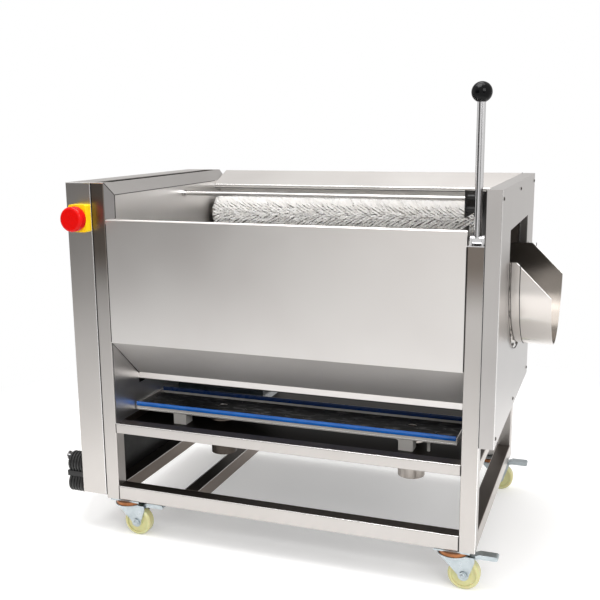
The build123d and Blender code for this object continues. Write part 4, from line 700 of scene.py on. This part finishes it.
# ---------------------------------------------------------------- strips, seams and bright edges
def strip_tree():
    """A bar with rounded corners swept along each path of edges."""
    tree, given, sockets = new_tree("bar_along_a_path", Paths="Geometry", Width="Float", Height="Float",
                                    Rounding="Float", Finish="Material")
    path = add(tree, "GeometryNodeMeshToCurve", {"Mesh": given["Paths"]})
    level = add(tree, "GeometryNodeSetCurveNormal", {"Curve": path.outputs[0]}, mode="Z_UP")
    section = add(tree, "GeometryNodeCurvePrimitiveQuadrilateral",
                  {"Width": given["Width"], "Height": given["Height"]})
    eased = add(tree, "GeometryNodeFilletCurve",
                {"Curve": section.outputs[0], "Radius": given["Rounding"], "Limit Radius": True,
                 "Count": 3}, mode="POLY")
    bar = add(tree, "GeometryNodeCurveToMesh", {"Curve": level.outputs[0], "Fill Caps": True,
                                                "Profile Curve": eased.outputs[0]})
    close_tree(tree, bar.outputs[0], given["Finish"])
    return tree, sockets


STRIP_TREE, STRIP_SOCKETS = strip_tree()


def make_strips(name, paths, width, height, rounding, finish, *nodes):
    """Bars of one section along several paths of machine points, as one piece on the machine."""
    start = bpy.data.meshes.new(name)
    points = [at(*point) for path in paths for point in path]
    edges, first = [], 0
    for path in paths:
        edges += [(first + i, first + i + 1) for i in range(len(path) - 1)]
        first += len(path)
    start.from_pydata(points, edges, [])
    values = {"Width": width * MM, "Height": height * MM, "Rounding": rounding * MM,
              "Finish": FINISHES[finish]}
    return new_piece(name, grown(name, STRIP_TREE, STRIP_SOCKETS, values, start), finish,
                     "machine", *nodes)


CHUTE_RIM = 752.0
TROUGH_STEPS = 24


def trough(x, radius):
    """The chute's outline at x: down its front side, round its bottom and up its back side."""
    y, z = CHUTE_MIDDLE
    turns = [pi * i / TROUGH_STEPS for i in range(TROUGH_STEPS + 1)]
    bottom = [(x, y - radius * cos(turn), z - radius * sin(turn)) for turn in turns]
    return [(x, y - radius, CHUTE_RIM), *bottom, (x, y + radius, CHUTE_RIM)]


# black strips along the joints between sheets and tubes, about 2 mm wide: painted shade of the gaps
SEAMS = [
    # up the uprights, beside the housing and the front panel
    [(0.4, -0.1, 110), (0.4, -0.1, 929)],
    [(38.4, -0.1, 528), (38.4, -0.1, 828)],
    [(931.6, -0.1, 528), (931.6, -0.1, 805)],
    # round the funnel's wall, its skirt and the foot of the slope
    [(38.5, 1.0, 929.6), (60.3, 12.6, 900.0)],
    [(60.4, 13.0, 900), (60.4, 584, 900)],
    [(60.4, 12.6, 899), (60.4, 12.6, 842)],
    [(39.8, 1.4, 311), (39.8, 1.4, 524), (40.6, 124, 414)],
    [(40, 123.4, 399.4), (905, 123.4, 399.4)],
    # where the front rails end on the uprights
    *[[(x, -0.1, low), (x, -0.1, high)]
      for x in (38.4, 931.6) for low, high in ((285, 309), (101, 137))],
    # beside the end cover, and under the hood's end and hem
    [(970.3, -0.1, 356), (970.3, -0.1, 927)],
    [(969.2, 585, 892), (969.2, 669, 928.6)],
    [(61, 584.6, 880.2), (967, 584.6, 880.2)],
    # both sides of the chute's collar
    trough(1006.6, 199.4),
    trough(1029.0, 184.7),
]
# ground arrises, which catch the light as thin bright lines
ARRISES = [
    # the housing's top and front edges
    [(-70.6, -0.1, 929.6), (38, -0.1, 929.6)],
    [(-1.4, -0.1, 110), (-1.4, -0.1, 929)],
    # the front rails and the ones behind them
    [(39, 0.6, 137.6), (931, 0.6, 137.6)],
    [(39, 0.4, 309.8), (931, 0.4, 309.8)],
    *[[(x, 39, 137.6), (x, 631, 137.6)] for x in (38.2, 213.4, 250.6)],
    # the end cover's front, the right upright and the tray's rim
    [(1003.6, 0.4, 356), (1003.6, 0.4, 927)],
    [(969.6, 0.4, 101), (969.6, 0.4, 805)],
    [(45, 99.6, 322), (904, 99.6, 322)],
    # the slanted rims of the chute's mouth
    *[[(1020, y, 751.6), (1099.6, y, 672)] for y in (158.2, 523.8)],
]
HEM_ROLL = [[(62, 584.6, 888.6), (966, 584.6, 888.6)]]
TRAY_WALLS = (101, 249)  # Y of the walls that carry the blue trims
TRAY_TRIMS = [[(44, y, 335), (903, y, 335)] for y in TRAY_WALLS]


def make_edges():
    """Seams, bright edges and the two blue trims on the drain tray's walls."""
    make_strips("hood_hem_roll", HEM_ROLL, 5.0, 5.0, 2.4, "edge_steel")
    # painted shade: black strips along the gaps between sheets and tubes
    make_strips("gap_shade_seams", SEAMS, 1.9, 1.9, 0.8, "seam_shade_black")
    make_strips("bright_arrises", ARRISES, 2.0, 2.0, 0.9, "edge_steel")
    rounded = make_strips("rounded_tray_trims", TRAY_TRIMS, 6.0, 12.0, 2.6, "trim_blue", "tray_trims")
    # painted shade: the rear trim gets a darker copy, for the shade of the slope
    rounded.data.materials.append(FINISHES["trim_blue_shaded"])
    between = at(0, sum(TRAY_WALLS) / 2, 0).y
    for face in rounded.data.polygons:
        face.material_index = int(face.center.y > between)


make_edges()


# ---------------------------------------------------------------- screws, nuts and drops of water
def ball_tree():
    """A flattened ball on each point, its pole turned along the point's own direction."""
    tree, given, sockets = new_tree("ball_on_each_point", Points="Geometry", Radius="Float",
                                    Flat="Float", Vary="Float", Seed="Int", Finish="Material")
    ball = add(tree, "GeometryNodeMeshUVSphere", {"Segments": 14, "Rings": 8, "Radius": given["Radius"]})
    low = add(tree, "ShaderNodeMath", {0: 1.0, 1: given["Vary"]}, operation="SUBTRACT").outputs[0]
    size = add(tree, "FunctionNodeRandomValue", {2: low, 3: 1.0, "Seed": given["Seed"]},
               data_type="FLOAT")
    height = add(tree, "ShaderNodeMath", {0: size.outputs[1], 1: given["Flat"]}, operation="MULTIPLY")
    scale = add(tree, "ShaderNodeCombineXYZ", {0: size.outputs[1], 1: size.outputs[1],
                                               2: height.outputs[0]})
    read = add(tree, "GeometryNodeInputNamedAttribute", {"Name": "pole"}, data_type="FLOAT_VECTOR")
    turned = add(tree, "FunctionNodeAlignRotationToVector", {"Vector": read.outputs[0]}, axis="Z")
    placed = add(tree, "GeometryNodeInstanceOnPoints",
                 {"Points": given["Points"], "Instance": ball.outputs[0], "Rotation": turned.outputs[0],
                  "Scale": scale.outputs[0]})
    close_tree(tree, placed.outputs[0], given["Finish"])
    return tree, sockets


BALL_TREE, BALL_SOCKETS = ball_tree()


def make_balls(name, spots, radius, flat, finish, body, *nodes, vary=0.0, seed=1):
    """Flattened balls as one piece: one at each (place, pole), up to a share, vary, smaller."""
    start = bpy.data.meshes.new(name)
    start.from_pydata([place for place, pole in spots], [], [])
    poles = start.attributes.new("pole", "FLOAT_VECTOR", "POINT")
    for row, (place, pole) in zip(poles.data, spots):
        row.vector = pole
    values = {"Radius": radius * MM, "Flat": flat, "Vary": vary, "Seed": seed,
              "Finish": FINISHES[finish]}
    new_piece(name, grown(name, BALL_TREE, BALL_SOCKETS, values, start), finish, body, *nodes)


def screw_spots():
    """Where the CAD's flat screw heads sit, and the way each one faces."""
    shape = bmesh.new()
    shape.from_mesh(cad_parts["screws"].data)
    bmesh.ops.remove_doubles(shape, verts=shape.verts, dist=SAME_POINT)
    left, spots = set(shape.verts), []
    while left:
        head, edge = set(), [next(iter(left))]
        while edge:
            vert = edge.pop()
            if vert in head:
                continue
            head.add(vert)
            edge += [link.other_vert(vert) for link in vert.link_edges]
        left -= head
        lows = Vector([min(v.co[i] for v in head) for i in range(3)])
        highs = Vector([max(v.co[i] for v in head) for i in range(3)])
        size = highs - lows
        # a head that is thinner along X than upwards sits on a wall, the others under a plate
        if size.x < size.z:
            spots.append((Vector((lows.x, (lows.y + highs.y) / 2, (lows.z + highs.z) / 2)), (1, 0, 0)))
        else:
            spots.append((Vector(((lows.x + highs.x) / 2, (lows.y + highs.y) / 2, highs.z)), (0, 0, -1)))
    shape.free()
    return sorted(spots, key=lambda spot: tuple(spot[0]))


AXLE_REACH = 8.0  # how far above and below the axle a fork's leg is measured


def axle_spots(corner):
    """Where a castor's axle comes out of its fork's legs."""
    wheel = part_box(f"castor_wheel_{corner}")
    middle = [(wheel[0][i] + wheel[1][i]) / 2 for i in range(3)]
    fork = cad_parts[f"castor_fork_{corner}"]
    legs = [v.co.y for v in fork.data.vertices if abs(v.co.z - middle[2]) < AXLE_REACH * MM]
    return [(Vector((middle[0], end, middle[2])), (0, 1, 0)) for end in (min(legs), max(legs))]


DROPS = 46
DROP_STEPS = (0.7548777, 0.5698403)  # steps of two irrational numbers leave no lines or clumps
DROP_MARGINS = (0.02, 0.08)  # share of the mat left dry at its ends and sides


def drop_spots():
    """Places of the drops of rinsing water left on the tray's mat, in no order."""
    low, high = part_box("tray_mat")
    spots = []
    for index in range(DROPS):
        place = Vector((0, 0, high[2]))
        for axis, (step, margin) in enumerate(zip(DROP_STEPS, DROP_MARGINS)):
            share = margin + (1 - 2 * margin) * (index * step % 1)
            place[axis] = low[axis] + (high[axis] - low[axis]) * share
        spots.append((place, (0, 0, 1)))
    return spots


make_balls("domed_screws", screw_spots(), 4.5, 0.56, "screw_steel", "machine", "screws")
for corner in CORNERS:
    make_balls(f"axle_nuts_{corner}", axle_spots(corner), 6.5, 0.5, "zinc", f"fork_{corner}")
make_balls("water_drops", drop_spots(), 4.2, 0.32, "water", "machine", vary=0.65, seed=7)


# ---------------------------------------------------------------- room and light
FLOOR_REACH = 3.7
FLOOR_SIDES = 64
FLOOR_LIFT = 0.26  # light the floor adds of its own, so that it nearly reaches white
WHITE_FROM = 1.05  # the floor keeps the machine's shadow inside this radius, in metres
WHITE_TO = 1.75


def make_floor():
    """A pale studio floor that keeps the machine's soft shadow and runs out to white."""
    material = bpy.data.materials.new("studio_floor")
    material.use_nodes = True
    tree = material.node_tree
    tree.nodes.clear()
    matte = add(tree, "ShaderNodeBsdfDiffuse", {"Color": linear("#efefef")})
    lift = add(tree, "ShaderNodeEmission", {"Color": linear("#ffffff"), "Strength": FLOOR_LIFT})
    white = add(tree, "ShaderNodeEmission", {"Color": linear("#ffffff"), "Strength": 1.0})
    near = add(tree, "ShaderNodeAddShader", {0: matte.outputs[0], 1: lift.outputs[0]})
    place = add(tree, "ShaderNodeTexCoord").outputs["Object"]
    radius = add(tree, "ShaderNodeVectorMath", {0: place}, operation="LENGTH").outputs["Value"]
    far = add(tree, "ShaderNodeMapRange", {"Value": radius, "From Min": WHITE_FROM,
                                           "From Max": WHITE_TO}, interpolation_type="SMOOTHSTEP")
    shown = add(tree, "ShaderNodeMixShader", {0: far.outputs[0], 1: near.outputs[0],
                                              2: white.outputs[0]})
    # the camera, mirrors and clear pieces see that; soft light only meets the plain matt floor
    ray = add(tree, "ShaderNodeLightPath").outputs
    seen = ray["Is Camera Ray"]
    for other in ("Is Glossy Ray", "Is Transmission Ray"):
        seen = add(tree, "ShaderNodeMath", {0: seen, 1: ray[other]}, operation="MAXIMUM").outputs[0]
    both = add(tree, "ShaderNodeMixShader", {0: seen, 1: matte.outputs[0], 2: shown.outputs[0]})
    add(tree, "ShaderNodeOutputMaterial", {"Surface": both.outputs[0]})

    turns = [2 * pi * i / FLOOR_SIDES for i in range(FLOOR_SIDES)]
    mesh = bpy.data.meshes.new("floor")
    mesh.from_pydata([(FLOOR_REACH * cos(turn), FLOOR_REACH * sin(turn), 0) for turn in turns], [],
                     [tuple(range(FLOOR_SIDES))])
    mesh.materials.append(material)
    floor = bpy.data.objects.new("floor", mesh)
    bpy.context.scene.collection.objects.link(floor)


# smooth ramps over the ways that a reflection can look: the axis (0 right, 1 back, 2 up), where on
# it the ramp starts and ends, and its value at both
ROOM_RAMPS = {
    "front": (1, -0.2, -0.6, 0.0, 1.0),
    "over_floor": (2, -0.26, -0.15, 0.0, 1.0),
    "under_roof": (2, 0.5, 0.1, 0.0, 1.0),
    "left": (0, -0.25, -0.46, 0.0, 0.95),
    "right_starts": (0, 0.22, 0.38, 0.0, 0.72),
    "right_ends": (0, 0.75, 0.55, 0.0, 1.0),
    "back": (1, 0.05, 0.4, 0.0, 1.0),
    "under_lamps": (2, 0.85, 0.6, 0.0, 1.0),
    "halfway_up": (2, 0.08, 0.42, 0.80, 0.60),
    "leftmost": (0, -0.75, -0.3, 0.7, 1.0),
}
# each row makes one value from two others
ROOM_PARTS = [
    # dark ends in front, from just under the horizon to well above it: deep to the left, and
    # narrower and less deep to the right
    ("right", "right_starts", "MULTIPLY", "right_ends"),
    ("ends", "left", "ADD", "right"),
    ("front_ends", "ends", "MULTIPLY", "front"),
    ("band", "over_floor", "MULTIPLY", "under_roof"),
    ("dark", "front_ends", "MULTIPLY", "band"),
    ("lit", "one", "SUBTRACT", "dark"),
    # the wall behind the machine is duller than the floor, most so halfway up and to the left
    ("behind", "back", "MULTIPLY", "under_lamps"),
    ("wall", "halfway_up", "MULTIPLY", "leftmost"),
]
ROOM_LEVEL = 0.96
ROOM_TINT = (1.0, 0.985, 0.97, 1.0)  # warm white


def make_world():
    """White to the camera; to the steel, a pale room whose front ends lie in the dark."""
    world = bpy.data.worlds.new("studio")
    bpy.context.scene.world = world
    world.use_nodes = True
    tree = world.node_tree
    tree.nodes.clear()
    way = add(tree, "ShaderNodeTexCoord").outputs["Generated"]
    axes = add(tree, "ShaderNodeSeparateXYZ", {0: way}).outputs
    room = {"one": 1.0}
    for name, (axis, start, end, low, high) in ROOM_RAMPS.items():
        room[name] = add(tree, "ShaderNodeMapRange", {
            "Value": axes[axis], "From Min": start, "From Max": end, "To Min": low, "To Max": high},
            interpolation_type="SMOOTHSTEP").outputs[0]
    for name, one, operation, other in ROOM_PARTS:
        room[name] = add(tree, "ShaderNodeMath", {0: room[one], 1: room[other]},
                         operation=operation).outputs[0]
    level = add(tree, "ShaderNodeMix", {"Factor": room["behind"], 2: ROOM_LEVEL, 3: room["wall"]},
                data_type="FLOAT").outputs[0]
    strength = add(tree, "ShaderNodeMath", {0: room["lit"], 1: level}, operation="MULTIPLY").outputs[0]
    studio = add(tree, "ShaderNodeBackground", {"Color": ROOM_TINT, "Strength": strength})
    plain = add(tree, "ShaderNodeBackground", {"Color": (1, 1, 1, 1), "Strength": 1.0})
    seen = add(tree, "ShaderNodeLightPath").outputs["Is Camera Ray"]
    both = add(tree, "ShaderNodeMixShader", {0: seen, 1: studio.outputs[0], 2: plain.outputs[0]})
    add(tree, "ShaderNodeOutputWorld", {"Surface": both.outputs[0]})


def make_lamp(name, place, size, watts, aim=(485, 335, 500)):
    """A square softbox, its side in metres, that faces the machine's middle or the aim given."""
    lamp = bpy.data.lights.new(name, "AREA")
    lamp.energy = watts
    lamp.size = size
    softbox = bpy.data.objects.new(name, lamp)
    softbox.location = at(*place)
    softbox.rotation_mode = "QUATERNION"
    softbox.rotation_quaternion = (at(*aim) - at(*place)).to_track_quat("-Z", "Y")
    bpy.context.scene.collection.objects.link(softbox)


make_floor()
make_world()
make_lamp("overhead", (300, 200, 3200), 2.4, 54)
make_lamp("front_right", (2600, -2400, 2200), 1.6, 38)
make_lamp("over_the_mouth", (500, -350, 2300), 0.9, 12, aim=(490, 577, 806))

bpy.context.scene.view_settings.view_transform = "Standard"
